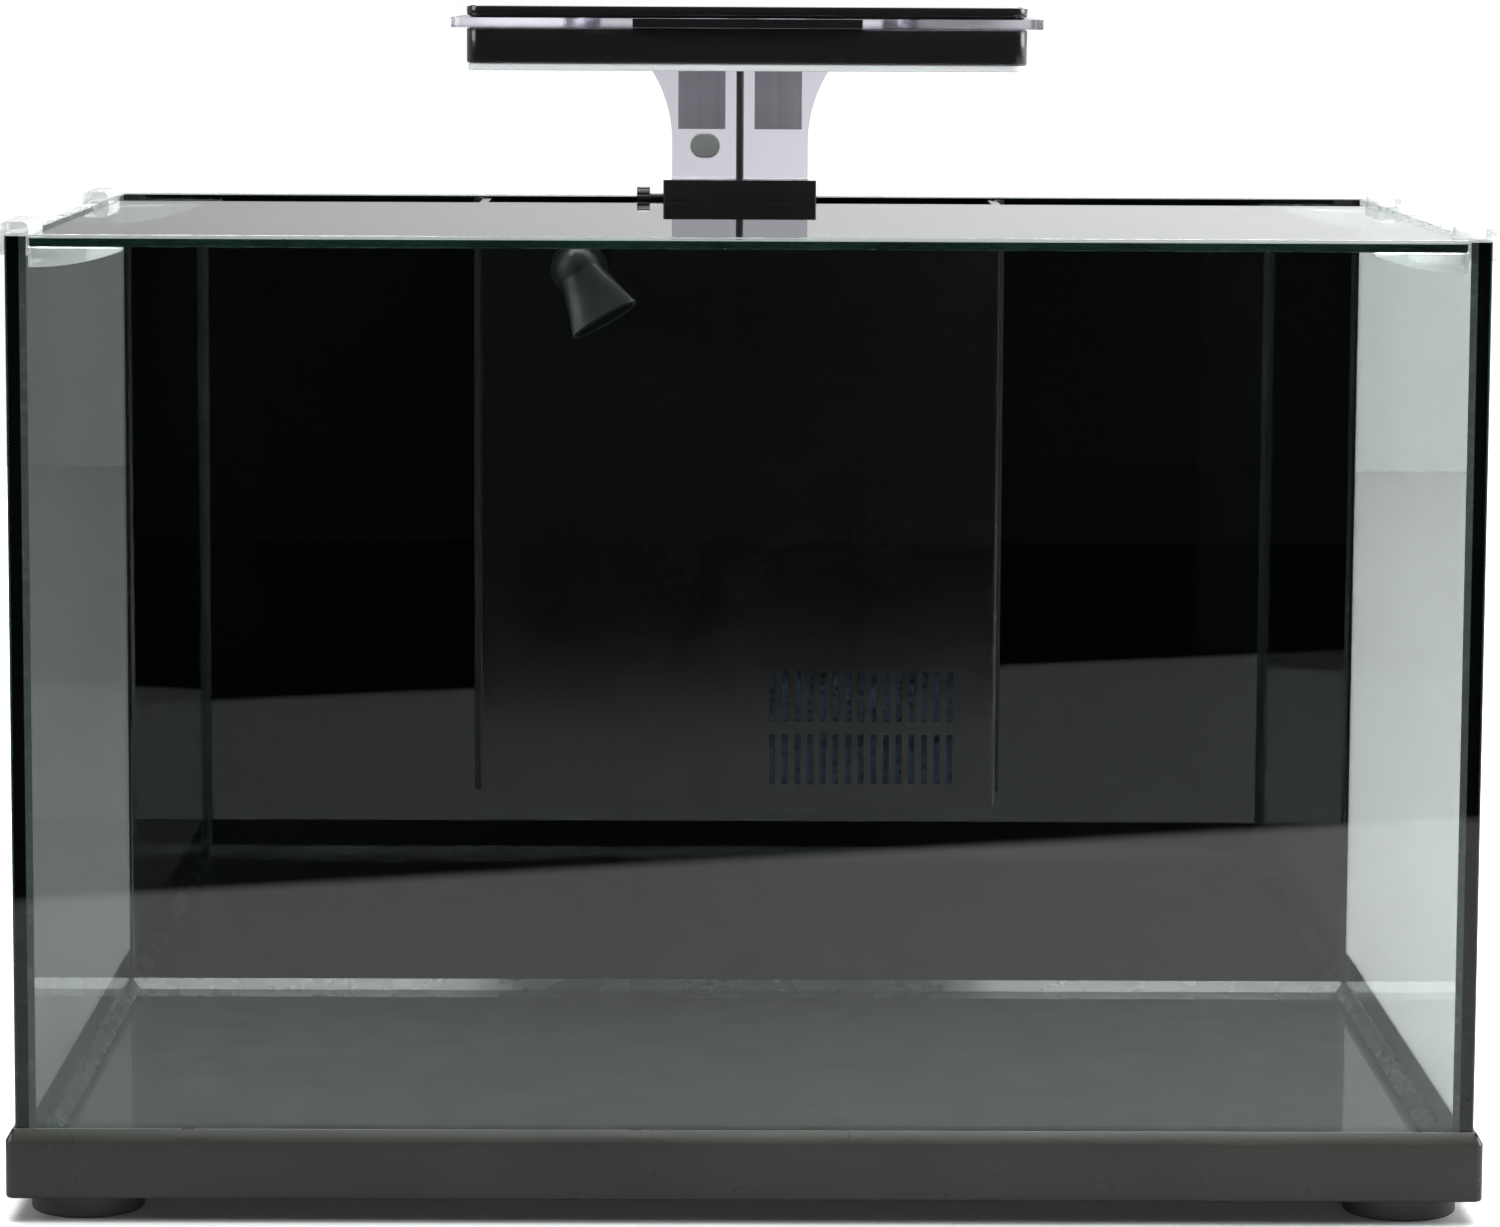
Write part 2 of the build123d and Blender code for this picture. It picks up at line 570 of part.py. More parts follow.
# One bent sheet of clear acrylic: an upright with spreading sides, and a flat plate on top
# that narrows behind the lamp head.
with BuildPart() as lamp_stem:
    with BuildSketch(Plane.XZ.offset(-stem_y - stem_t)):
        with BuildLine():
            for side in (-1, 1):
                Line((lamp_x, stem_low), (lamp_x + side * stem_half, stem_low))
                Line((lamp_x + side * stem_half, stem_low), (lamp_x + side * stem_half, flare_z))
                ThreePointArc((lamp_x + side * stem_half, flare_z),
                              (lamp_x + side * (stem_half + flare_mid_dx), flare_z + flare_mid_h),
                              (lamp_x + side * stem_top_half, plate_z))
                Line((lamp_x + side * stem_top_half, plate_z), (lamp_x, plate_z))
        make_face()
    extrude(amount=stem_t)
    with BuildSketch(Plane.XY.offset(plate_z)):
        with BuildLine():
            for side in (-1, 1):
                Line((lamp_x, plate_front), (head_x + side * plate_half, plate_front))
                Line((head_x + side * plate_half, plate_front),
                     (head_x + side * plate_half, plate_waist))
                ThreePointArc((head_x + side * plate_half, plate_waist),
                              (lamp_x + side * (stem_top_half + 12), stem_y - 9),
                              (lamp_x + side * stem_top_half, plate_rear))
                Line((lamp_x + side * stem_top_half, plate_rear), (lamp_x, plate_rear))
        make_face()
    extrude(amount=plate_t)
    fillet(lamp_stem.edges().filter_by(Axis.Z).group_by(Axis.Y)[0], 3)
    fillet(lamp_stem.edges().filter_by(Axis.X).group_by(Axis.Y)[-1].sort_by(Axis.Z)[-1], 2.4)
    bar(lamp_x - groove_w / 2, lamp_x + groove_w / 2, stem_y - 1, stem_y + 3.6, stem_low - 1,
        plate_z - 2, mode=Mode.SUBTRACT)
    for side in (-1, 1):
        x = lamp_x + side * insert_offset
        bar(x - insert_half, x + insert_half, stem_y + stem_t - 1.6, stem_y + stem_t + 1,
            insert_low, plate_z - 1, mode=Mode.SUBTRACT)
    with BuildSketch(Plane.XZ.offset(-stem_y + 1)):
        with Locations((button_x, button_z)):
            SlotOverall(button_w + 0.6, button_h + 0.6)
    extrude(amount=-4, mode=Mode.SUBTRACT)
    bar(head_x - 38.2, head_x + 38.2, plate_front - 1, plate_front + 3.2, plate_z - 1,
        plate_z + plate_t + 1, mode=Mode.SUBTRACT)
lamp_stem.part.label = "lamp_stem"
export_step(lamp_stem.part, "parts/lamp_stem.step")

with BuildPart() as stem_inserts:
    for side in (-1, 1):
        x = lamp_x + side * insert_offset
        bar(x - insert_half + 0.1, x + insert_half - 0.1, stem_y + stem_t - 1.6,
            stem_y + stem_t - 0.1, insert_low + 0.1, plate_z - 1.2)
stem_inserts.part.label = "stem_inserts"
export_step(stem_inserts.part, "parts/stem_inserts.step")

with BuildPart() as switch_button:
    with BuildSketch(Plane.XZ.offset(-stem_y + 0.8)):
        with Locations((button_x, button_z)):
            SlotOverall(button_w, button_h)
    extrude(amount=-2.4)
    fillet(switch_button.faces().sort_by(Axis.Y)[0].edges(), 0.5)
switch_button.part.label = "switch_button"
export_step(switch_button.part, "parts/switch_button.step")

lead_y = stem_y + 1.6
with BuildPart() as lamp_lead:
    with BuildLine() as lead_path:
        FilletPolyline((lamp_x, lead_y, stem_low + 2), (lamp_x, lead_y, body_z + 6),
                       (lamp_x, head_rear, body_z + 6), radius=14)
    with BuildSketch(Plane((lamp_x, lead_y, stem_low + 2))):
        Circle(lead_r)
    sweep(path=lead_path.wires()[0])
lamp_lead.part.label = "lamp_lead"
export_step(lamp_lead.part, "parts/lamp_lead.step")

# ================= Lamp head =================

with BuildPart() as lamp_body:
    bar(head_x - head_half, head_x + head_half, head_front, head_rear, body_z, plate_z - 0.1)
    fillet(lamp_body.edges().filter_by(Axis.Z), head_corner)
    chamfer(lamp_body.faces().sort_by(Axis.Z)[0].edges(), 0.6)
    bar(head_x - head_half + shell_t, head_x + head_half - shell_t, head_front + shell_t,
        head_rear - shell_t, body_z - 1, plate_z - shell_t, mode=Mode.SUBTRACT)
lamp_body.part.label = "lamp_body"
export_step(lamp_body.part, "parts/lamp_body.step")

board_z = plate_z - shell_t - 1.6
with BuildPart() as led_board:
    bar(head_x - head_half + shell_t + 1, head_x + head_half - shell_t - 1,
        head_front + shell_t + 1, head_rear - shell_t - 1, board_z, board_z + 1.6)
led_board.part.label = "led_board"
export_step(led_board.part, "parts/led_board.step")

with BuildPart() as led_chips:
    with Locations((head_x, (head_front + head_rear) / 2, board_z - 0.5)):
        with GridLocations(14, 20, 12, 4):
            Box(3.5, 3.5, 1)
led_chips.part.label = "led_chips"
export_step(led_chips.part, "parts/led_chips.step")

with BuildPart() as lamp_lens:
    bar(head_x - head_half + 0.5, head_x + head_half - 0.5, head_front + 0.5, head_rear - 0.5,
        lens_z, body_z - 0.1)
    fillet(lamp_lens.edges().filter_by(Axis.Z), head_corner - 0.5)
    bar(head_x - head_half + shell_t + 0.2, head_x + head_half - shell_t - 0.2,
        head_front + shell_t + 0.2, head_rear - shell_t - 0.2, body_z - 0.2, body_z + 1.4)
lamp_lens.part.label = "lamp_lens"
export_step(lamp_lens.part, "parts/lamp_lens.step")

with BuildPart() as lamp_cap:
    bar(head_x - head_half, head_x + head_half, head_front, head_rear, cap_z, head_top)
    fillet(lamp_cap.edges().filter_by(Axis.Z), head_corner)
    fillet(lamp_cap.faces().sort_by(Axis.Z)[-1].edges(), 1)
lamp_cap.part.label = "lamp_cap"
export_step(lamp_cap.part, "parts/lamp_cap.step")

with BuildPart() as lamp_insert:
    bar(head_x - 38, head_x + 38, plate_front + 0.2, plate_front + 3, plate_z + 0.1,
        plate_z + plate_t - 0.1)
lamp_insert.part.label = "lamp_insert"
export_step(lamp_insert.part, "parts/lamp_insert.step")

# ================= Free cord =================

cord_y = rear_jaw_y + 3.7
relief_z = clamp_low + 8
with BuildPart() as cord_relief:
    with Locations((relief_x, cord_y, relief_z - relief_len)):
        Cone(cord_r + 0.7, 3.4, relief_len, align=(Align.CENTER, Align.CENTER, Align.MIN))
cord_relief.part.label = "cord_relief"
export_step(cord_relief.part, "parts/cord_relief.step")

coil_out = coil_mid_r + coil_layers * cord_r
coil_in = coil_mid_r - coil_layers * cord_r
coil_h = coil_rows * 2 * cord_r
with BuildPart() as cord_coil:
    with Locations((coil_x, coil_y, coil_z)):
        Cylinder(coil_out, coil_h, align=(Align.CENTER, Align.CENTER, Align.MIN))
        Cylinder(coil_in, coil_h, align=(Align.CENTER, Align.CENTER, Align.MIN),
                 mode=Mode.SUBTRACT)
    fillet(cord_coil.edges(), cord_r)
cord_coil.part.label = "cord_coil"
export_step(cord_coil.part, "parts/cord_coil.step")

tie_t = 0.8
with BuildPart() as cord_tie:
    bar(coil_x - 4, coil_x + 4, coil_y + coil_in - tie_t - 1, coil_y + coil_out + tie_t + 0.2,
        coil_z - tie_t - 0.1, coil_z + coil_h + tie_t + 0.1)
    fillet(cord_tie.edges().filter_by(Axis.X), 2)
    bar(coil_x - 5, coil_x + 5, coil_y + coil_in - 1, coil_y + coil_out + 0.2, coil_z - 0.1,
        coil_z + coil_h + 0.1, mode=Mode.SUBTRACT)
cord_tie.part.label = "cord_tie"
export_step(cord_tie.part, "parts/cord_tie.step")


def route_radii(points):
    """The largest tangent arc that fits at each corner of a route."""
    spots = [Vector(*point) for point in points]
    radii = []
    for before, corner, after in zip(spots, spots[1:], spots[2:]):
        run_in = corner - before
        run_out = after - corner
        half_turn = radians(run_in.get_angle(run_out)) / 2
        radii.append(0.45 * min(run_in.length, run_out.length) / tan(half_turn))
    return radii


# The cord hangs from the clamp behind the rear pane, turns on the surface and joins the
# coil's outer turn; its tail leaves the coil for the plug.
surface = cord_r + 0.1
drop_z = relief_z - relief_len
cord_route = [
    (relief_x, cord_y, drop_z),
    (relief_x + 0.4, cord_y + 0.2, 208),
    (relief_x + 2.2, cord_y + 0.9, 166),
    (relief_x + 5.0, cord_y + 1.2, 126),
    (relief_x + 7.0, cord_y + 1.4, 90),
    (relief_x + 8.4, cord_y + 2.0, 58),
    (relief_x + 12.6, cord_y + 3.2, 32),
    (relief_x + 23.0, cord_y + 5.0, 12.5),
    (relief_x + 42.0, cord_y + 6.8, surface + 1.6),
    (coil_x - 20.0, coil_y - coil_out + cord_r + 1.4, surface + 0.2),
    (coil_x - 2.0, coil_y - coil_out + cord_r, coil_z + cord_r),
]
tail_z = coil_z + coil_h - cord_r
tail_route = [
    (coil_x, coil_y - coil_out + cord_r, tail_z),
    (coil_x + 12.0, coil_y - coil_out + 0.6, tail_z),
    (coil_x + 25.0, coil_y - coil_out - 0.2, tail_z - 2.6),
    (coil_x + 37.0, coil_y - coil_out + 2.0, 5.6),
    (coil_x + 49.0, coil_y - coil_out + 4.6, 4.2),
]
for name, route in (("lamp_cord", cord_route), ("cord_tail", tail_route)):
    radii = route_radii(route)
    with BuildPart() as cord:
        with BuildLine() as cord_path:
            FilletPolyline(*route, radius=radii)
        first_run = Vector(*route[1]) - Vector(*route[0])
        with BuildSketch(Plane(route[0], z_dir=first_run)):
            Circle(cord_r)
        sweep(path=cord_path.wires()[0])
    cord.part.label = name
    export_step(cord.part, f"parts/{name}.step")
    path_len = cord_path.wires()[0].length
    print(name, "length", round(path_len, 1), "radii", [round(r, 1) for r in radii])
    print(name, "volume ratio", round(cord.part.volume / (path_len * pi * cord_r**2), 4))

# The plug lies on the surface, in line with the end of the tail.
plug_start = Vector(*tail_route[-1])
plug_way = (plug_start - Vector(*tail_route[-2])).normalized()
plug_way = Vector(plug_way.X, plug_way.Y, 0).normalized()
plug_end = Plane(plug_start, x_dir=(0, 0, 1), z_dir=plug_way)
with BuildPart() as plug_body:
    with BuildSketch(plug_end):
        Circle(2.2)
    with BuildSketch(plug_end.offset(9)):
        Rectangle(7.6, 11)
    loft()
    with BuildSketch(plug_end.offset(9)):
        Rectangle(8, 15.5)
    extrude(amount=25)
    fillet(plug_body.edges().filter_by(lambda e: e.length > 20), 1.6)
plug_body.part.label = "plug_body"
export_step(plug_body.part, "parts/plug_body.step")

with BuildPart() as plug_shell:
    with BuildSketch(plug_end.offset(34)):
        Rectangle(4.5, 12)
        Rectangle(3.9, 11.4, mode=Mode.SUBTRACT)
    extrude(amount=12)
    with BuildSketch(plug_end.offset(34)):
        with Locations((0.9, 0)):
            Rectangle(1.9, 11.2)
    extrude(amount=11)
plug_shell.part.label = "plug_shell"
export_step(plug_shell.part, "parts/plug_shell.step")

coil_turns = coil_layers * coil_rows
print("coil wire", round(coil_turns * 2 * pi * coil_mid_r, 1))
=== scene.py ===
import math

import bmesh
import bpy
from mathutils import Matrix, Vector


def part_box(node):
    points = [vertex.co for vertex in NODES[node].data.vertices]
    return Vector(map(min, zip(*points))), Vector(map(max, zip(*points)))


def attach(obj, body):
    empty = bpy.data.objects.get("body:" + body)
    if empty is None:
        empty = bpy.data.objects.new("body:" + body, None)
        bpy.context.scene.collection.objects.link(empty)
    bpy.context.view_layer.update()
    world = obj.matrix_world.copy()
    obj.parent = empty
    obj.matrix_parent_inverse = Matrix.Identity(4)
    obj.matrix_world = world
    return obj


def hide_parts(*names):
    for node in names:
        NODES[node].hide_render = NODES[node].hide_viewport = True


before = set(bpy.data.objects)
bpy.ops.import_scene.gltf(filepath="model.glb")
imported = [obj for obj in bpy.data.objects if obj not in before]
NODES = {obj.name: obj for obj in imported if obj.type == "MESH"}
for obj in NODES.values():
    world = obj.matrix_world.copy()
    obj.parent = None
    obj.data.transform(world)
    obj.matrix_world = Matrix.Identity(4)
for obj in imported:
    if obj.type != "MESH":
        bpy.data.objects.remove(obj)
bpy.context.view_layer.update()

bl_info = {
    "name": "Aquarium on a low base",
    "version": (1, 0, 0),
    "blender": (4, 5, 0),
    "location": "3D View > Sidebar > Aquarium",
    "description": "Models the glass, lamp, filter and cord of a small aquarium around its frame",
    "category": "Object",
}

MM = 0.001

TRAY_LOW, TRAY_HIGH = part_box("base_tray")
FRONT_LOW, FRONT_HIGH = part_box("front_pane")
REAR_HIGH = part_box("rear_pane")[1]
COIL_LOW, COIL_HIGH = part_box("cord_coil")
RIM_Z = FRONT_HIGH.z
GLASS_T = FRONT_HIGH.y - FRONT_LOW.y
INNER_X = FRONT_HIGH.x - GLASS_T
TANK_MID_Y = (FRONT_LOW.y + REAR_HIGH.y) / 2
CORD_R = 1.5 * MM


# ------------------------------------------------------------------ settings

class AquariumSizes(bpy.types.PropertyGroup):
    """Sizes that the finishing pieces are built from."""

    arris: bpy.props.FloatProperty(
        name="Arris", description="Width of the ground arris along each glass edge",
        default=0.4 * MM, unit="LENGTH")
    plastic_round: bpy.props.FloatProperty(
        name="Moulded edge", description="Radius of the edges of moulded plastic parts",
        default=0.5 * MM, unit="LENGTH")
    cord_diameter: bpy.props.FloatProperty(
        name="Cord diameter", description="Outside diameter of the lamp's cord",
        default=2 * CORD_R, unit="LENGTH")
    cord_length: bpy.props.FloatProperty(
        name="Cord length", description="Length of the free cord from the clamp to its plug",
        default=1.6, unit="LENGTH")
    lens_length: bpy.props.FloatProperty(
        name="Camera lens", description="Focal length of the studio camera",
        default=125.35, unit="CAMERA")


class AquariumColours(bpy.types.PropertyGroup):
    """Main colours of the finishes."""

    glass: bpy.props.FloatVectorProperty(
        name="Glass", description="Tint of the panes", subtype="COLOR", size=3,
        default=(0.970, 0.990, 0.981), min=0, max=1)
    glass_edge: bpy.props.FloatVectorProperty(
        name="Glass edge", description="Colour of the ground edges of the glass", subtype="COLOR",
        size=3, default=(0.006, 0.022, 0.014), min=0, max=1)
    tray: bpy.props.FloatVectorProperty(
        name="Tray", description="Colour of the base tray", subtype="COLOR", size=3,
        default=(0.028, 0.030, 0.026), min=0, max=1)
    acrylic: bpy.props.FloatVectorProperty(
        name="Acrylic", description="Tint of the clear lamp stem", subtype="COLOR", size=3,
        default=(0.785, 0.78, 0.815), min=0, max=1)
    lamp: bpy.props.FloatVectorProperty(
        name="Lamp", description="Colour of the lamp's metal", subtype="COLOR", size=3,
        default=(0.010, 0.010, 0.011), min=0, max=1)
    floor: bpy.props.FloatVectorProperty(
        name="Floor", description="Colour of the studio floor", subtype="COLOR", size=3,
        default=(0.66, 0.66, 0.66), min=0, max=1)


def sizes():
    return bpy.context.scene.aquarium_sizes


def colours():
    return bpy.context.scene.aquarium_colours


# ------------------------------------------------------------ material helpers

def new_material(name):
    """An empty node material and its output node."""
    made = bpy.data.materials.new(name)
    made.use_nodes = True
    made.node_tree.nodes.clear()
    output = made.node_tree.nodes.new("ShaderNodeOutputMaterial")
    return made, made.node_tree, output


def add_node(tree, kind, sockets=None, **settings):
    """One node, its plain settings and the values or links of its sockets."""
    node = tree.nodes.new(kind)
    for key, value in settings.items():
        setattr(node, key, value)
    for key, value in (sockets or {}).items():
        if isinstance(value, bpy.types.NodeSocket):
            tree.links.new(value, node.inputs[key])
        else:
            node.inputs[key].default_value = value
    return node


def object_place(tree, scale=(1, 1, 1)):
    """Object coordinates in metres, stretched by a scale."""
    place = add_node(tree, "ShaderNodeTexCoord")
    mapped = add_node(tree, "ShaderNodeMapping", {"Vector": place.outputs["Object"]})
    mapped.inputs["Scale"].default_value = scale
    return mapped.outputs["Vector"]


def noise(tree, place, scale, detail=3.0, roughness=0.55):
    made = add_node(tree, "ShaderNodeTexNoise",
                    {"Vector": place, "Scale": scale, "Detail": detail, "Roughness": roughness})
    return made.outputs["Fac"]


def spread(tree, factor, low, high, start=0.3, end=0.7):
    """Maps a factor from start..end to low..high."""
    made = add_node(tree, "ShaderNodeMapRange",
                    {"Value": factor, "From Min": start, "From Max": end, "To Min": low,
                     "To Max": high})
    return made.outputs["Result"]


def blend_colour(tree, factor, first, second):
    made = add_node(tree, "ShaderNodeMix", data_type="RGBA")
    tree.links.new(factor, made.inputs["Factor"])
    for key, value in (("A", first), ("B", second)):
        socket = [s for s in made.inputs if s.name == key and s.type == "RGBA"][0]
        if isinstance(value, bpy.types.NodeSocket):
            tree.links.new(value, socket)
        else:
            socket.default_value = (*value, 1)
    return [s for s in made.outputs if s.type == "RGBA"][0]


def bumped(tree, height, strength, distance):
    made = add_node(tree, "ShaderNodeBump",
                    {"Height": height, "Strength": strength, "Distance": distance})
    return made.outputs["Normal"]


def shade(colour, factor):
    return tuple(min(1.0, c * factor) for c in colour)


def moulded(name, colour, rough=(0.35, 0.5), grain=900, grain_depth=0.00003, wear=0.18,
            specular=0.5, stretch=(1, 1, 1), metal=0.0, coat=0.0):
    """Opaque moulded, rubber or painted finish with fine grain and slow colour drift."""
    made, tree, output = new_material(name)
    place = object_place(tree, stretch)
    drift = noise(tree, place, 14.0, 2.0)
    fine = noise(tree, place, grain, 2.0)
    colour_node = blend_colour(tree, spread(tree, drift, 0, 1), shade(colour, 1 - wear),
                               shade(colour, 1 + wear))
    shader = add_node(tree, "ShaderNodeBsdfPrincipled", {
        "Base Color": colour_node,
        "Roughness": spread(tree, noise(tree, place, 60.0, 4.0), rough[0], rough[1]),
        "Normal": bumped(tree, fine, 0.5, grain_depth),
        "Specular IOR Level": specular,
        "Metallic": metal,
        "Coat Weight": coat,
    })
    tree.links.new(shader.outputs["BSDF"], output.inputs["Surface"])
    return made


def clear_solid(name, colour, ior=1.5, roughness=0.0, drift=0.03, shadow=0.93, ripple=0.0):
    """Clear glass or acrylic that bends light, and lets lamps light what is behind it."""
    made, tree, output = new_material(name)
    place = object_place(tree)
    tint = blend_colour(tree, spread(tree, noise(tree, place, 5.0, 2.0), 0, 1),
                        shade(colour, 1 - drift), colour)
    glass = add_node(tree, "ShaderNodeBsdfGlass",
                     {"Color": tint, "Roughness": roughness, "IOR": ior})
    if ripple:
        tree.links.new(bumped(tree, noise(tree, place, 26.0, 1.0), 0.4, ripple),
                       glass.inputs["Normal"])
    through = add_node(tree, "ShaderNodeBsdfTransparent",
                       {"Color": (*(shadow * c for c in colour), 1)})
    path = add_node(tree, "ShaderNodeLightPath")
    mix = add_node(tree, "ShaderNodeMixShader", {0: path.outputs["Is Shadow Ray"],
                                                 1: glass.outputs[0], 2: through.outputs[0]})
    tree.links.new(mix.outputs[0], output.inputs["Surface"])
    return made


def milky(name, colour):
    """Natural, slightly milky moulding plastic."""
    made, tree, output = new_material(name)
    place = object_place(tree)
    tint = blend_colour(tree, spread(tree, noise(tree, place, 40.0, 2.0), 0, 1),
                        shade(colour, 0.93), colour)
    plastic = add_node(tree, "ShaderNodeBsdfPrincipled", {
        "Base Color": tint, "Transmission Weight": 0.75, "Roughness": 0.1, "IOR": 1.47,
        "Normal": bumped(tree, noise(tree, place, 90.0, 2.0), 0.3, 0.00008)})
    through = add_node(tree, "ShaderNodeBsdfTransparent", {"Color": (0.8, 0.8, 0.8, 1)})
    path = add_node(tree, "ShaderNodeLightPath")
    mix = add_node(tree, "ShaderNodeMixShader", {0: path.outputs["Is Shadow Ray"],
                                                 1: plastic.outputs[0], 2: through.outputs[0]})
    tree.links.new(mix.outputs[0], output.inputs["Surface"])
    return made


def ground_edge(name):
    """The dark green ground edge of float glass, with fine lines along the grinding."""
    made, tree, output = new_material(name)
    place = object_place(tree)
    lines = noise(tree, object_place(tree, (1, 1, 22)), 160.0, 2.0)
    dark = colours().glass_edge
    tint = blend_colour(tree, spread(tree, noise(tree, place, 30.0, 3.0), 0, 1),
                        shade(dark, 0.55), shade(dark, 1.8))
    shader = add_node(tree, "ShaderNodeBsdfPrincipled", {
        "Base Color": tint, "Roughness": spread(tree, lines, 0.16, 0.36),
        "Normal": bumped(tree, lines, 0.3, 0.00002)})
    tree.links.new(shader.outputs["BSDF"], output.inputs["Surface"])
    return made


def corner_silicone(name):
    """Black silicone in the joint, turning to a greyish clear bead inside the tank."""
    made, tree, output = new_material(name)
    coords = add_node(tree, "ShaderNodeTexCoord")
    split = add_node(tree, "ShaderNodeSeparateXYZ", {"Vector": coords.outputs["Object"]})
    away = add_node(tree, "ShaderNodeMath", {0: split.outputs["X"]}, operation="ABSOLUTE")
    joint = spread(tree, away.outputs[0], 0, 1, INNER_X - 0.1 * MM, INNER_X + 0.1 * MM)
    grain = noise(tree, coords.outputs["Object"], 220.0, 3.0)
    clear = blend_colour(tree, spread(tree, grain, 0, 1), (0.12, 0.15, 0.13), (0.17, 0.20, 0.18))
    tint = blend_colour(tree, joint, clear, (0.004, 0.006, 0.005))
    shader = add_node(tree, "ShaderNodeBsdfPrincipled", {
        "Base Color": tint, "Roughness": spread(tree, grain, 0.18, 0.3),
        "Normal": bumped(tree, grain, 0.4, 0.0001)})
    tree.links.new(shader.outputs["BSDF"], output.inputs["Surface"])
    return made


def open_foam(name, colour, cell=380.0):
    """Open-cell filter foam."""
    made, tree, output = new_material(name)
    place = object_place(tree)
    cells = add_node(tree, "ShaderNodeTexVoronoi", {"Vector": place, "Scale": cell})
    hole = spread(tree, cells.outputs["Distance"], 0, 1, 0.1, 0.6)
    tint = blend_colour(tree, hole, shade(colour, 0.25), shade(colour, 1.5))
    shader = add_node(tree, "ShaderNodeBsdfPrincipled", {
        "Base Color": tint, "Roughness": 0.9, "Normal": bumped(tree, hole, 0.9, 0.0008)})
    tree.links.new(shader.outputs["BSDF"], output.inputs["Surface"])
    return made


def brushed(name, colour, stretch=(1, 40, 1), rough=(0.22, 0.4)):
    """Brushed metal, its lines run along the axis that is stretched least."""
    made, tree, output = new_material(name)
    lines = noise(tree, object_place(tree, stretch), 180.0, 4.0)
    tint = blend_colour(tree, spread(tree, lines, 0, 1), shade(colour, 0.8), shade(colour, 1.1))
    shader = add_node(tree, "ShaderNodeBsdfPrincipled", {
        "Base Color": tint, "Metallic": 1.0, "Roughness": spread(tree, lines, *rough),
        "Normal": bumped(tree, lines, 0.3, 0.00004)})
    tree.links.new(shader.outputs["BSDF"], output.inputs["Surface"])
    return made


def opal(name, colour):
    """Opal diffuser, milky and slightly uneven."""
    made, tree, output = new_material(name)
    place = object_place(tree)
    tint = blend_colour(tree, spread(tree, noise(tree, place, 40.0, 2.0), 0, 1),
                        shade(colour, 0.94), colour)
    shader = add_node(tree, "ShaderNodeBsdfPrincipled", {
        "Base Color": tint, "Roughness": spread(tree, noise(tree, place, 500.0), 0.3, 0.42),
        "Subsurface Weight": 0.25, "Subsurface Scale": 0.004,
        "Normal": bumped(tree, noise(tree, place, 1500.0, 1.0), 0.3, 0.00003)})
    tree.links.new(shader.outputs["BSDF"], output.inputs["Surface"])
    return made


FINISHES = {}


def make_finishes():
    """Every finish of the aquarium, by name."""
    paint = colours()
    FINISHES.update({
        "pane": clear_solid("pane_glass", tuple(paint.glass)),
        "pane_edge": ground_edge("pane_ground_edge"),
        "front_silicone": corner_silicone("front_silicone"),
        "rear_silicone": moulded("rear_silicone", (0.004, 0.006, 0.005), (0.12, 0.25), 240,
                                 0.0001),
        "floor_silicone": moulded("floor_silicone", (0.020, 0.025, 0.022), (0.2, 0.35), 240, 0.0001),
        "case_silicone": moulded("case_silicone", (0.005, 0.006, 0.005), (0.55, 0.7), 240, 0.0001,
                                 specular=0.15),
        "film": moulded("black_rear_film", (0.0025, 0.003, 0.003), (0.03, 0.06), 30, 0.000004,
                        specular=0.5, coat=0.3),
        "clip": milky("clip_plastic", (0.86, 0.88, 0.87)),
        "tray": moulded("tray_plastic", tuple(paint.tray), (0.26, 0.36), 1400, 0.00002,
                        specular=0.4),
        "rubber": moulded("foot_rubber", (0.045, 0.046, 0.044), (0.6, 0.8), 700, 0.00008),
        "mat": moulded("levelling_foam", (0.007, 0.010, 0.007), (0.7, 0.9), 900, 0.0002),
        "filter": moulded("filter_plastic", (0.0022, 0.0028, 0.0024), (0.10, 0.16), 700, 0.00001),
        "pump": moulded("pump_plastic", (0.014, 0.014, 0.015), (0.4, 0.55), 700, 0.00005),
        "outlet": moulded("outlet_plastic", (0.008, 0.010, 0.008), (0.28, 0.4), 500, 0.00004,
                          specular=0.3),
        "basket": moulded("basket_plastic", (0.06, 0.065, 0.065), (0.3, 0.45), 700, 0.00004),
        "sponge": open_foam("filter_sponge", (0.03, 0.045, 0.07)),
        "fine_sponge": open_foam("fine_sponge", (0.30, 0.33, 0.36), 800.0),
        "ceramic": moulded("ring_ceramic", (0.62, 0.56, 0.47), (0.8, 0.95), 900, 0.0003),
        "lamp": moulded("lamp_metal", tuple(paint.lamp), (0.16, 0.26), 1200, 0.00001,
                        stretch=(1, 6, 6), coat=0.4),
        "clamp": moulded("clamp_metal", (0.009, 0.009, 0.009), (0.3, 0.42), 1300, 0.00004),
        "knob": moulded("knob_metal", (0.010, 0.010, 0.010), (0.4, 0.55), 1500, 0.00003,
                        specular=0.35),
        "acrylic": clear_solid("stem_acrylic", tuple(paint.acrylic), 1.49, 0.12),
        "inserts": moulded("insert_sheet", (0.90, 0.91, 0.86), (0.5, 0.65), 600, 0.00004, wear=0.07,
                           stretch=(30, 30, 1)),
        "button": moulded("button_plastic", (0.16, 0.17, 0.16), (0.3, 0.45), 900, 0.00004),
        "lens": opal("lens_opal", (0.88, 0.88, 0.90)),
        "board": moulded("board_mask", (0.72, 0.72, 0.70), (0.35, 0.5), 600, 0.00002),
        "phosphor": moulded("led_phosphor", (0.75, 0.62, 0.18), (0.3, 0.45), 2000, 0.00003),
        "cable": moulded("cable_jacket", (0.010, 0.010, 0.010), (0.35, 0.5), 1200, 0.00003),
        "plug_metal": brushed("plug_steel", (0.55, 0.55, 0.56), (60, 6, 60)),
        "screw": brushed("screw_steel", (0.5, 0.5, 0.5), (20, 20, 20)),
        "nylon": moulded("nylon", (0.62, 0.62, 0.58), (0.4, 0.55), 800, 0.00004),
    })


# -------------------------------------------------------------- mesh helpers

CLOSE = 0.01 * MM


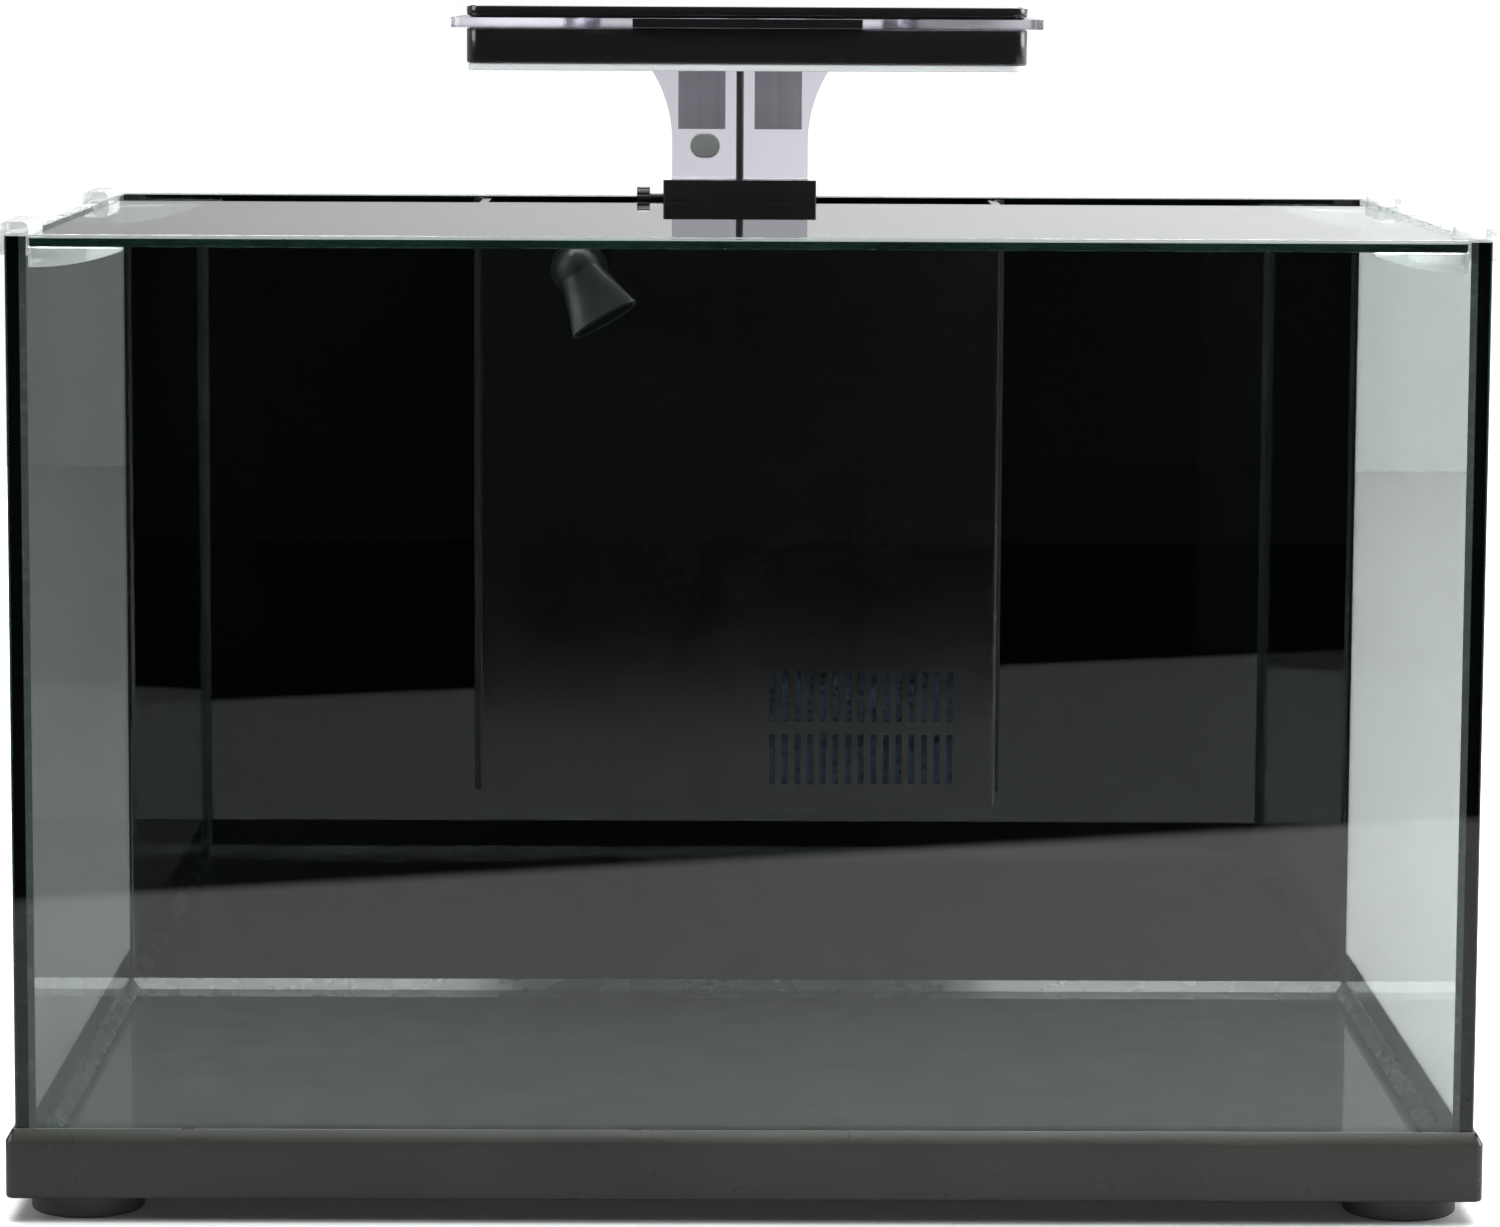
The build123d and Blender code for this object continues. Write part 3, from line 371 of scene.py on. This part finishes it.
def deselect():
    if bpy.context.mode != "OBJECT":
        bpy.ops.object.mode_set(mode="OBJECT")
    bpy.ops.object.select_all(action="DESELECT")


def settle(name):
    """Names the new primitive and puts its place into its mesh."""
    piece = bpy.context.active_object
    piece.name = name
    bpy.ops.object.transform_apply(location=True, rotation=True, scale=True)
    return piece


def add_box(name, low, high):
    deselect()
    low, high = Vector(low), Vector(high)
    bpy.ops.mesh.primitive_cube_add(size=1, location=(low + high) / 2, scale=high - low)
    return settle(name)


def add_disc(name, centre, radius, depth, rotation=(0, 0, 0), vertices=48):
    """A cylinder centred on a point."""
    deselect()
    bpy.ops.mesh.primitive_cylinder_add(vertices=vertices, radius=radius, depth=depth,
                                        location=centre, rotation=rotation)
    return settle(name)


def choose(piece, kind, test):
    """Opens a piece in edit mode with what passes the test selected."""
    bpy.context.view_layer.objects.active = piece
    if bpy.context.mode != "EDIT_MESH":
        bpy.ops.object.mode_set(mode="EDIT")
    bpy.ops.mesh.select_mode(type=kind)
    bpy.ops.mesh.select_all(action="DESELECT")
    shape = bmesh.from_edit_mesh(piece.data)
    for part in {"VERT": shape.verts, "EDGE": shape.edges, "FACE": shape.faces}[kind]:
        if test(part):
            part.select_set(True)
    shape.select_flush_mode()
    bmesh.update_edit_mesh(piece.data)


def leave_edit():
    bpy.ops.object.mode_set(mode="OBJECT")


def mid(part):
    """The middle of an edge or face."""
    points = [v.co for v in part.verts]
    return sum(points, Vector()) / len(points)


def mid_y(low, high):
    return (low.y + high.y) / 2


def level_with(part, height):
    """Whether an edge or face lies flat at a height."""
    return all(abs(v.co.z - height) < CLOSE for v in part.verts)


def runs_along(edge, axis):
    way = (edge.verts[1].co - edge.verts[0].co).normalized()
    return abs(way[axis]) > 0.99


def bevel_chosen(width, segments=2):
    bpy.ops.mesh.bevel(offset=width, segments=segments, profile=0.5, affect="EDGES")


def round_edges(piece, width, segments=2, angle=30):
    """Rounds every sharp edge with a Bevel modifier, applied."""
    deselect()
    piece.select_set(True)
    bpy.context.view_layer.objects.active = piece
    made = piece.modifiers.new("edges", "BEVEL")
    made.width = width
    made.segments = segments
    made.limit_method = "ANGLE"
    made.angle_limit = math.radians(angle)
    made.harden_normals = False
    bpy.ops.object.modifier_apply(modifier=made.name)


def smooth(piece, angle=35):
    deselect()
    piece.select_set(True)
    bpy.context.view_layer.objects.active = piece
    bpy.ops.object.shade_smooth_by_angle(angle=math.radians(angle))


def finish_piece(piece, finish, body, slot_name, *replaced):
    """Gives a piece its finish, body and the nodes that it stands for; the record slot name is not
    used.
    """
    if finish:
        piece.data.materials.clear()
        piece.data.materials.append(FINISHES[finish])
    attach(piece, body)
    if replaced:
        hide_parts(*replaced)
    return piece


def join(pieces, name):
    """Joins several meshes into one piece."""
    deselect()
    for piece in pieces:
        piece.select_set(True)
    bpy.context.view_layer.objects.active = pieces[0]
    bpy.ops.object.join()
    pieces[0].name = name
    return pieces[0]


# -------------------------------------------------------------------- cord

# The cord leaves its relief here, and its route is given in mm across and back from there, with
# its height above the ground.
EXIT_X, CORD_Y = 16 * MM, (136.5 + 10.7) * MM
CORD_DROP = [
    (0.0, 0.0, 246.0), (0.4, 0.2, 208.0), (2.2, 0.9, 166.0), (5.0, 1.2, 126.0),
    (7.0, 1.4, 90.0), (8.4, 2.0, 58.0), (12.6, 3.2, 32.0), (23.0, 5.0, 12.5),
    (42.0, 6.8, 3.2),
]
COIL_LAYERS = 3
COIL_ROWS = 4
POINTS_PER_TURN = 16


def coil_points(centre):
    """Turns that fill each row from the outside in, then from the inside out."""
    points = []
    turns = COIL_LAYERS * COIL_ROWS
    for step in range(turns * POINTS_PER_TURN + 1):
        turn = step / POINTS_PER_TURN
        row = min(int(turn / COIL_LAYERS), COIL_ROWS - 1)
        across = turn / COIL_LAYERS - row
        if row % 2:
            across = 1 - across
        radius = centre[3] + CORD_R * (COIL_LAYERS - 1) * (1 - 2 * across)
        height = centre[2] + 2 * CORD_R * (turn / COIL_LAYERS) * (COIL_ROWS - 1) / COIL_ROWS
        angle = -math.pi / 2 + 2 * math.pi * turn
        points.append((centre[0] + radius * math.cos(angle),
                       centre[1] + radius * math.sin(angle), height))
    return points


def smooth_line(name, points, radius):
    """A round cord whose line is a smooth spline near the points."""
    curve = bpy.data.curves.new(name, "CURVE")
    curve.dimensions = "3D"
    line = curve.splines.new("NURBS")
    line.points.add(len(points) - 1)
    for knot, point in zip(line.points, points):
        knot.co = (*point, 1)
    line.order_u = 3
    line.use_endpoint_u = True
    line.resolution_u = 6
    curve.bevel_depth = radius
    curve.bevel_resolution = 3
    curve.use_fill_caps = True
    made = bpy.data.objects.new(name, curve)
    bpy.context.scene.collection.objects.link(made)
    return made


class AQUARIUM_OT_cord(bpy.types.Operator):
    """Lays the lamp's cord down behind the tank and winds the rest into a tied coil"""
    bl_idname = "aquarium.cord"
    bl_label = "Lamp cord"

    def execute(self, context):
        coil_mid = (COIL_LOW + COIL_HIGH) / 2
        coil_out = (COIL_HIGH.x - COIL_LOW.x) / 2
        centre = (coil_mid.x, coil_mid.y, COIL_LOW.z + CORD_R, coil_out - COIL_LAYERS * CORD_R)
        route = [(EXIT_X + x * MM, CORD_Y + y * MM, z * MM) for x, y, z in CORD_DROP]
        near_y = coil_mid.y - coil_out + CORD_R
        route.append((coil_mid.x - 20 * MM, near_y + 1.4 * MM, 1.8 * MM))
        route += coil_points(centre)
        top = route[-1][2]
        route += [(coil_mid.x + 12 * MM, near_y - 0.9 * MM, top),
                  (coil_mid.x + 25 * MM, near_y - 1.7 * MM, top - 2.6 * MM),
                  (coil_mid.x + 37 * MM, near_y + 0.5 * MM, 5.6 * MM),
                  (coil_mid.x + 49 * MM, near_y + 3.1 * MM, 4.2 * MM)]
        flex = smooth_line("lamp_flex", route, CORD_R)
        flex.data.materials.append(FINISHES["cable"])
        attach(flex, "tank")
        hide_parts("lamp_cord", "cord_coil", "cord_tail")
        return {"FINISHED"}


# ------------------------------------------------------------------- glass

def pane(name, node, body, slot_name, arris):
    """A float glass pane with ground, arrised edges."""
    low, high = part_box(node)
    piece = add_box(name, low, high)
    span = high - low
    thin = min(range(3), key=lambda axis: span[axis])
    choose(piece, "EDGE", lambda edge: True)
    bevel_chosen(arris, 1)
    leave_edit()
    piece.data.materials.append(FINISHES["pane"])
    piece.data.materials.append(FINISHES["pane_edge"])
    for face in piece.data.polygons:
        face.material_index = 0 if abs(face.normal[thin]) > 0.99 else 1
    return finish_piece(piece, None, body, slot_name, node)


class AQUARIUM_OT_panes(bpy.types.Operator):
    """Cuts the five panes of the tank and the loose lid"""
    bl_idname = "aquarium.panes"
    bl_label = "Panes and lid"

    def execute(self, context):
        arris = sizes().arris
        for side in ("front", "rear", "left", "right", "bottom"):
            pane(f"{side}_glass", f"{side}_pane", "tank", "tank_glass", arris)
        pane("lid_pane", "lid_glass", "lid", "lid_float_glass", arris)
        return {"FINISHED"}


# A clip's saddle straddles the side pane with a little play; its shelf has a rounded underside.
CLIP_PLAY_IN, CLIP_PLAY_OUT, CLIP_PLAY_TOP = 0.2 * MM, 0.3 * MM, 0.3 * MM
CLIP_WALL, CLIP_SKIRT, CLIP_ROUND = 2.4 * MM, 6.5 * MM, 2.0 * MM
SHELF_PLAY, SHELF_ROUND = 0.4 * MM, 0.35 * MM
UNDERSIDE_R, UNDERSIDE_IN = 75 * MM, 3.8 * MM
CLIP_IN = INNER_X - CLIP_PLAY_IN
CLIP_OUT = FRONT_HIGH.x + CLIP_PLAY_OUT
CLIP_WALL_IN = CLIP_IN - CLIP_WALL


def clip_saddle(name, low, high, side):
    """The saddle that hangs over the side pane's rim."""
    outer = max(abs(low.x), abs(high.x))
    under = RIM_Z + CLIP_PLAY_TOP
    left, right = sorted((side * CLIP_WALL_IN, side * outer))
    saddle = add_box(name, (left, low.y, under), (right, high.y, high.z))
    for cut in (CLIP_IN, CLIP_OUT):
        choose(saddle, "FACE", lambda face: True)
        bpy.ops.mesh.bisect(plane_co=(side * cut, 0, 0), plane_no=(1, 0, 0))
    choose(saddle, "FACE", lambda face: face.normal.z < -0.9
           and not CLIP_IN < abs(mid(face).x) < CLIP_OUT)
    bpy.ops.mesh.extrude_region_move(
        TRANSFORM_OT_translate={"value": (0, 0, RIM_Z - CLIP_SKIRT - under)})
    choose(saddle, "EDGE", lambda edge: runs_along(edge, 1) and level_with(edge, high.z)
           and any(abs(abs(mid(edge).x) - x) < CLOSE for x in (outer, CLIP_WALL_IN)))
    bevel_chosen(CLIP_ROUND, 5)
    leave_edit()
    return saddle


def clip_shelf(name, low, high, side):
    """The quarter-round shelf inside the tank, thinner towards its round edge."""
    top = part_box("lid_glass")[0].z - SHELF_PLAY
    at_front = mid_y(low, high) < TANK_MID_Y
    corner_y = low.y if at_front else high.y
    reach = max(abs(low.x - side * CLIP_IN), abs(high.x - side * CLIP_IN))
    shelf = add_disc(name + "_shelf", (side * CLIP_IN, corner_y, (low.z + top) / 2),
                     reach, top - low.z, vertices=120)
    for point, away in (((side * CLIP_WALL_IN, 0, 0), (side, 0, 0)),
                        ((0, corner_y, 0), (0, -1 if at_front else 1, 0))):
        choose(shelf, "FACE", lambda face: True)
        bpy.ops.mesh.bisect(plane_co=point, plane_no=away, clear_outer=True, use_fill=True)
    leave_edit()
    hull = add_disc(name + "_hull", (side * (CLIP_IN - UNDERSIDE_IN), mid_y(low, high),
                                     low.z + UNDERSIDE_R), UNDERSIDE_R, 2 * (high.y - low.y),
                    (math.pi / 2, 0, 0), vertices=360)
    deselect()
    shelf.select_set(True)
    bpy.context.view_layer.objects.active = shelf
    under = shelf.modifiers.new("underside", "BOOLEAN")
    under.operation = "INTERSECT"
    under.object = hull
    bpy.ops.object.modifier_apply(modifier=under.name)
    deselect()
    hull.select_set(True)
    bpy.ops.object.delete()
    round_edges(shelf, SHELF_ROUND, 2, 40)
    return shelf


def lid_clip(name, node):
    """A clear saddle over the side pane's rim, with a quarter-round shelf for the lid."""
    low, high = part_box(node)
    side = 1 if low.x > 0 else -1
    piece = join([clip_saddle(name, low, high, side), clip_shelf(name, low, high, side)], name)
    smooth(piece)
    return finish_piece(piece, "clip", "tank", "clear_plastic", node)


class AQUARIUM_OT_clips(bpy.types.Operator):
    """Moulds the four clear clips that carry the lid"""
    bl_idname = "aquarium.clips"
    bl_label = "Lid clips"

    def execute(self, context):
        for row in ("front", "rear"):
            for side in ("left", "right"):
                lid_clip(f"clip_{row}_{side}", f"lid_clip_{row}_{side}")
        return {"FINISHED"}


# -------------------------------------------------------------------- base

TRAY_WALL, TRAY_FLOOR, TRAY_CORNER = 2.6 * MM, 2.5 * MM, 3 * MM
# The slanted face round the tray's outer top edge, and how much steeper it is drawn.
TRAY_SLANT, TRAY_SLANT_DROP = 2.1 * MM, 1.7 * MM


class AQUARIUM_OT_tray(bpy.types.Operator):
    """Moulds the shallow base tray that the glass stands in"""
    bl_idname = "aquarium.tray"
    bl_label = "Base tray"

    def execute(self, context):
        low, high = TRAY_LOW, TRAY_HIGH
        piece = add_box("tray", low, high)
        choose(piece, "EDGE", lambda edge: runs_along(edge, 2))
        bevel_chosen(TRAY_CORNER, 6)
        choose(piece, "FACE", lambda face: face.normal.z > 0.9)
        bpy.ops.mesh.inset(thickness=TRAY_WALL)
        bpy.ops.mesh.extrude_region_move(
            TRANSFORM_OT_translate={"value": (0, 0, low.z + TRAY_FLOOR - high.z)})
        near = TRAY_WALL / 2
        choose(piece, "EDGE", lambda edge: level_with(edge, high.z)
               and (abs(mid(edge).x) > high.x - near
                    or abs(mid(edge).y - mid_y(low, high)) > (high.y - low.y) / 2 - near))
        bevel_chosen(TRAY_SLANT, 1)
        choose(piece, "VERT", lambda v: abs(v.co.z - high.z + TRAY_SLANT) < 0.2 * MM)
        bpy.ops.transform.translate(value=(0, 0, -TRAY_SLANT_DROP))
        choose(piece, "EDGE", lambda edge: level_with(edge, low.z))
        bevel_chosen(0.8 * MM, 2)
        leave_edit()
        round_edges(piece, 0.35 * MM, 2, 20)
        smooth(piece, 28)
        finish_piece(piece, "tray", "tank", "tray_plastic", "base_tray")
        return {"FINISHED"}


# A foot's rounded rim, its flat ring, the shallow hollow inside it and the screw's recess.
FOOT_RIM, FOOT_STEP, FOOT_HOLLOW = 2.2 * MM, 1.2 * MM, 0.5 * MM
FOOT_BOSS_R, FOOT_BOSS_STEP, FOOT_BOSS_RISE = 9.6 * MM, 0.9 * MM, 0.4 * MM
FOOT_RECESS_STEP, FOOT_RECESS, FOOT_ROUND = 0.5 * MM, 4.0 * MM, 1.1 * MM


def rubber_foot(name, node):
    """A round rubber foot with a moulded rim and a screw recess."""
    low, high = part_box(node)
    centre = (low + high) / 2
    radius = (high.x - low.x) / 2
    piece = add_disc(name, centre, radius, high.z - low.z, vertices=64)
    choose(piece, "FACE", lambda face: face.normal.z < -0.9)
    bpy.ops.mesh.inset(thickness=FOOT_RIM)
    bpy.ops.mesh.inset(thickness=FOOT_STEP, depth=-FOOT_HOLLOW)
    bpy.ops.mesh.inset(thickness=radius - FOOT_BOSS_R)
    bpy.ops.mesh.inset(thickness=FOOT_BOSS_STEP, depth=FOOT_BOSS_RISE)
    bpy.ops.mesh.inset(thickness=FOOT_RECESS_STEP)
    bpy.ops.mesh.extrude_region_move(TRANSFORM_OT_translate={"value": (0, 0, FOOT_RECESS)})
    choose(piece, "EDGE", lambda edge: level_with(edge, low.z)
           and (mid(edge) - centre).xy.length > radius - 0.3 * MM)
    bevel_chosen(FOOT_ROUND, 4)
    leave_edit()
    smooth(piece, 40)
    return finish_piece(piece, "rubber", "tank", "rubber", node)


class AQUARIUM_OT_feet(bpy.types.Operator):
    """Moulds the four rubber feet"""
    bl_idname = "aquarium.feet"
    bl_label = "Rubber feet"

    def execute(self, context):
        for row in ("front", "rear"):
            for side in ("left", "right"):
                rubber_foot(f"pad_{row}_{side}", f"foot_{row}_{side}")
        return {"FINISHED"}


# -------------------------------------------------------------------- lamp

LAMP_SHELL, LAMP_CORNER, CAP_ROUND = 3 * MM, 6 * MM, 1.4 * MM
LENS_CORNER, LENS_STEP, LENS_RISE, LENS_ROUND = 5.5 * MM, 2.8 * MM, 1.5 * MM, 0.4 * MM


def rounded_block(name, node, corner, edge):
    """A flat block with rounded upright corners and softly rounded edges."""
    low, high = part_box(node)
    piece = add_box(name, low, high)
    choose(piece, "EDGE", lambda e: runs_along(e, 2))
    bevel_chosen(corner, 8)
    choose(piece, "EDGE", lambda e: abs(e.verts[0].co.z - e.verts[1].co.z) < 1e-6)
    bevel_chosen(edge, 3)
    leave_edit()
    smooth(piece, 30)
    return piece


class AQUARIUM_OT_lamp_head(bpy.types.Operator):
    """Builds the lamp's black body, its cap and the opal lens"""
    bl_idname = "aquarium.lamp_head"
    bl_label = "Lamp head"

    def execute(self, context):
        low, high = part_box("lamp_body")
        body = add_box("lamp_shell", low, high)
        choose(body, "EDGE", lambda e: runs_along(e, 2))
        bevel_chosen(LAMP_CORNER, 8)
        choose(body, "FACE", lambda face: face.normal.z < -0.9)
        bpy.ops.mesh.inset(thickness=LAMP_SHELL)
        bpy.ops.mesh.extrude_region_move(
            TRANSFORM_OT_translate={"value": (0, 0, high.z - low.z - LAMP_SHELL)})
        leave_edit()
        round_edges(body, sizes().plastic_round, 3)
        smooth(body)
        finish_piece(body, "lamp", "lamp", "lamp_black", "lamp_body")
        cap = rounded_block("lamp_lid", "lamp_cap", LAMP_CORNER, CAP_ROUND)
        finish_piece(cap, "lamp", "lamp", "lamp_black", "lamp_cap")
        low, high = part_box("lamp_lens")
        lens = add_box("lamp_diffuser", low, (high.x, high.y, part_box("lamp_body")[0].z - 0.1 * MM))
        choose(lens, "EDGE", lambda e: runs_along(e, 2))
        bevel_chosen(LENS_CORNER, 8)
        choose(lens, "FACE", lambda face: face.normal.z > 0.9)
        bpy.ops.mesh.inset(thickness=LENS_STEP)
        bpy.ops.mesh.extrude_region_move(TRANSFORM_OT_translate={"value": (0, 0, LENS_RISE)})
        leave_edit()
        round_edges(lens, LENS_ROUND, 3)
        smooth(lens)
        finish_piece(lens, "lens", "lamp", "lens_white", "lamp_lens")
        return {"FINISHED"}


# ------------------------------------------------------------ carried-over nodes

NODE_FINISHES = {
    "foot_screws": "screw", "levelling_mat": "mat", "rear_film": "film",
    "seam_front_left": "front_silicone", "seam_front_right": "front_silicone",
    "seam_rear_left": "rear_silicone", "seam_rear_right": "rear_silicone",
    "bottom_seam": "floor_silicone", "filter_case": "filter", "filter_baffle": "filter",
    "filter_seals": "case_silicone", "prefilter_sponge": "sponge", "media_basket": "basket",
    "fine_sponge": "fine_sponge", "ceramic_rings": "ceramic", "pump_housing": "pump",
    "pump_cover": "pump", "impeller": "nylon", "impeller_shaft": "ceramic",
    "pump_grommet": "rubber", "riser_tube": "outlet", "outlet_elbow": "outlet",
    "outlet_nozzle": "outlet", "lamp_clamp": "clamp", "clamp_pad": "rubber",
    "clamp_screw": "knob", "lock_tip": "nylon", "lock_screw": "knob", "lamp_stem": "acrylic",
    "stem_inserts": "inserts", "switch_button": "button", "lamp_lead": "cable",
    "led_board": "board", "led_chips": "phosphor", "lamp_insert": "lamp",
    "cord_relief": "cable", "cord_tie": "rubber", "plug_body": "cable",
    "plug_shell": "plug_metal",
}


class AQUARIUM_OT_node_finishes(bpy.types.Operator):
    """Gives every carried-over part its finish"""
    bl_idname = "aquarium.node_finishes"
    bl_label = "Finishes of the fixed parts"

    def execute(self, context):
        for node, finish in NODE_FINISHES.items():
            mesh = NODES[node].data
            mesh.materials.clear()
            mesh.materials.append(FINISHES[finish])
        return {"FINISHED"}


# ------------------------------------------------------------------- stage

# How far the white sheet and the table under it reach in front of the tank, how much their ends
# slant across the picture, and their levels of grey as glass sees them: the sheet's level is
# painted shade for the dimly lit front of the studio, and the table's level paints everything
# past the sheet black.
SHEET_DEPTH, TABLE_DEPTH, SHEET_SLANT = 0.661, 1.249, 0.352
SHEET_PAINTED_SHADE, TABLE_LEVEL = 0.285, 0.0

# The camera stands this far left of, in front of and above the tank's rim, and is turned, tipped
# down and rolled by these degrees.
CAMERA_LEFT, CAMERA_AHEAD, CAMERA_RISE = 14.5 * MM, 1729.8 * MM, 80.1 * MM
CAMERA_TURN, CAMERA_TIP, CAMERA_ROLL = -0.55, 7.015, 0.283


def area_light(name, place, target, size, power, colour=(1, 1, 1)):
    lamp = bpy.data.lights.new(name, "AREA")
    lamp.shape = "RECTANGLE"
    lamp.size, lamp.size_y = size
    lamp.energy = power
    lamp.color = colour
    made = bpy.data.objects.new(name, lamp)
    made.location = place
    made.rotation_euler = (Vector(target) - Vector(place)).to_track_quat("-Z", "Y").to_euler()
    bpy.context.scene.collection.objects.link(made)
    return made


def studio_paper_painted_shade():
    """Pale floor to the camera. Glass sees it with painted shade: a white sheet, dimmed and painted
    brighter on the right, that ends slantwise in front of the tank, then the table and the dark
    room, painted black; behind the tank the floor is painted dark, darkest on the left, as the
    tank's shadow."""
    made, tree, output = new_material("floor_paper_painted_shade")
    coords = add_node(tree, "ShaderNodeTexCoord")
    split = add_node(tree, "ShaderNodeSeparateXYZ", {"Vector": coords.outputs["Object"]})
    slant = add_node(tree, "ShaderNodeMath", {0: split.outputs["X"], 1: SHEET_SLANT,
                                              2: split.outputs["Y"]}, operation="MULTIPLY_ADD")
    ahead = add_node(tree, "ShaderNodeMath", {0: FRONT_LOW.y, 1: slant.outputs[0]},
                     operation="SUBTRACT")
    edge = 12 * MM
    on_sheet = spread(tree, ahead.outputs[0], 1, TABLE_LEVEL, SHEET_DEPTH - edge,
                      SHEET_DEPTH + edge)
    on_table = spread(tree, ahead.outputs[0], 1, 0.02, TABLE_DEPTH - edge, TABLE_DEPTH + edge)
    before = add_node(tree, "ShaderNodeMath", {0: on_sheet, 1: on_table}, operation="MULTIPLY")
    # Painted shade: behind the tank the floor that glass sees is darker on the left, as the tank's
    # shadow; in front the sheet is painted brighter on the right, as light from the right.
    behind = spread(tree, split.outputs["X"], 0.12, 0.42, -0.35, 0.3)
    front = spread(tree, split.outputs["X"], 0.85, 1.1, -0.35, 0.35)
    is_front = spread(tree, split.outputs["Y"], 1, 0, FRONT_LOW.y, FRONT_LOW.y + 100 * MM)
    painted_sheet_shade = add_node(tree, "ShaderNodeMath", {0: before.outputs[0], 1: front},
                            operation="MULTIPLY")
    painted_sheet_shade = add_node(tree, "ShaderNodeMath", {0: painted_sheet_shade.outputs[0], 1: SHEET_PAINTED_SHADE},
                            operation="MULTIPLY")
    level = add_node(tree, "ShaderNodeMix", {0: is_front}, data_type="FLOAT")
    tree.links.new(behind, level.inputs[2])
    tree.links.new(painted_sheet_shade.outputs[0], level.inputs[3])
    painted_shade_for_glass = add_node(tree, "ShaderNodeCombineColor",
                             {key: level.outputs[0] for key in ("Red", "Green", "Blue")})
    drift = spread(tree, noise(tree, coords.outputs["Object"], 3.0), 0, 1)
    pale = blend_colour(tree, drift, shade(colours().floor, 0.985), tuple(colours().floor))
    path = add_node(tree, "ShaderNodeLightPath")
    # Camera rays see the pale floor; every other ray sees the painted shade.
    tint = blend_colour(tree, path.outputs["Is Camera Ray"], painted_shade_for_glass.outputs[0], pale)
    paper = add_node(tree, "ShaderNodeBsdfPrincipled",
                     {"Base Color": tint, "Roughness": 0.9, "Specular IOR Level": 0.0})
    tree.links.new(paper.outputs["BSDF"], output.inputs["Surface"])
    return made


def studio_world():
    """White to the camera; dimmer in front and on the left, as a studio's dark side is."""
    world = bpy.data.worlds.new("studio")
    bpy.context.scene.world = world
    world.use_nodes = True
    tree = world.node_tree
    tree.nodes.clear()
    output = add_node(tree, "ShaderNodeOutputWorld")
    coords = add_node(tree, "ShaderNodeTexCoord")
    split = add_node(tree, "ShaderNodeSeparateXYZ", {"Vector": coords.outputs["Generated"]})
    depth = spread(tree, split.outputs["Y"], 0.010, 1.0, -0.25, 0.35)
    bright = spread(tree, split.outputs["Z"], 1.8, 0.95, -0.03, 0.03)
    side = spread(tree, split.outputs["X"], 0.42, 0.95, -0.13, 0.13)
    tree.links.new(bright, side.node.inputs["To Max"])
    level = add_node(tree, "ShaderNodeMath", {0: depth, 1: side}, operation="MULTIPLY")
    path = add_node(tree, "ShaderNodeLightPath")
    seen = add_node(tree, "ShaderNodeMath", {0: level.outputs[0], 1: path.outputs["Is Camera Ray"]},
                    operation="MAXIMUM")
    light = add_node(tree, "ShaderNodeBackground",
                     {"Color": (1, 1, 1, 1), "Strength": seen.outputs[0]})
    tree.links.new(light.outputs[0], output.inputs["Surface"])


class AQUARIUM_OT_stage(bpy.types.Operator):
    """Sets up the pale floor, the soft studio light and the camera"""
    bl_idname = "aquarium.stage"
    bl_label = "Studio"

    def execute(self, context):
        scene = context.scene
        lens = bpy.data.cameras.new("studio_camera")
        lens.lens = sizes().lens_length
        lens.sensor_width = 36
        lens.clip_start, lens.clip_end = 0.05, 60
        camera = bpy.data.objects.new("studio_camera", lens)
        camera.rotation_mode = "QUATERNION"
        camera.location = (-CAMERA_LEFT, TANK_MID_Y - CAMERA_AHEAD, RIM_Z + CAMERA_RISE)
        turn = (Matrix.Rotation(math.radians(CAMERA_TURN), 4, "Z")
                @ Matrix.Rotation(math.radians(90 - CAMERA_TIP), 4, "X")
                @ Matrix.Rotation(math.radians(CAMERA_ROLL), 4, "Z"))
        camera.rotation_quaternion = turn.to_quaternion()
        scene.collection.objects.link(camera)
        scene.camera = camera
        deselect()
        bpy.ops.mesh.primitive_plane_add(size=4.4, location=(0, 0.1, 0))
        floor = settle("studio_floor")
        floor.data.materials.append(studio_paper_painted_shade())
        studio_world()
        area_light("top_soft", (0.1, 0.2, 2.2), (0, 0, 0), (2.6, 2.0), 160)
        area_light("back_soft", (0.2, 2.6, 1.8), (0, 0, 0.1), (3.0, 1.6), 150)
        area_light("right_soft", (2.2, 0.1, 1.0), (0, 0, 0.15), (1.2, 1.4), 40)
        area_light("left_soft", (-2.0, -0.5, 1.0), (0, 0, 0.15), (0.9, 1.2), 16)
        area_light("high_front", (0.1, -1.6, 2.2), (0, -0.16, 0.03), (1.6, 0.6), 12)
        fill = area_light("front_fill", (0.1, -2.3, 0.34), (0, 0, 0.33), (1.6, 0.4), 13)
        fill.visible_glossy = fill.visible_transmission = False
        scene.view_settings.view_transform = "Standard"
        return {"FINISHED"}


# ------------------------------------------------------------------- add-on

class AQUARIUM_PT_panel(bpy.types.Panel):
    """Lists the aquarium's sizes, colours and building steps"""
    bl_idname = "AQUARIUM_PT_panel"
    bl_label = "Aquarium"
    bl_space_type = "VIEW_3D"
    bl_region_type = "UI"
    bl_category = "Aquarium"

    def draw(self, context):
        layout = self.layout
        for group in (context.scene.aquarium_sizes, context.scene.aquarium_colours):
            for key in group.__annotations__:
                layout.prop(group, key)
        for step in STEPS:
            layout.operator(step.bl_idname)


STEPS = (
    AQUARIUM_OT_stage, AQUARIUM_OT_cord, AQUARIUM_OT_node_finishes, AQUARIUM_OT_panes,
    AQUARIUM_OT_clips, AQUARIUM_OT_tray, AQUARIUM_OT_feet, AQUARIUM_OT_lamp_head,
)
CLASSES = (AquariumSizes, AquariumColours, *STEPS, AQUARIUM_PT_panel)


def register():
    for kind in CLASSES:
        bpy.utils.register_class(kind)
    bpy.types.Scene.aquarium_sizes = bpy.props.PointerProperty(type=AquariumSizes)
    bpy.types.Scene.aquarium_colours = bpy.props.PointerProperty(type=AquariumColours)


def unregister():
    del bpy.types.Scene.aquarium_colours
    del bpy.types.Scene.aquarium_sizes
    for kind in reversed(CLASSES):
        bpy.utils.unregister_class(kind)


def main():
    register()
    make_finishes()
    for step in STEPS:
        group, action = step.bl_idname.split(".")
        getattr(getattr(bpy.ops, group), action)()


if __name__ == "__main__":
    main()
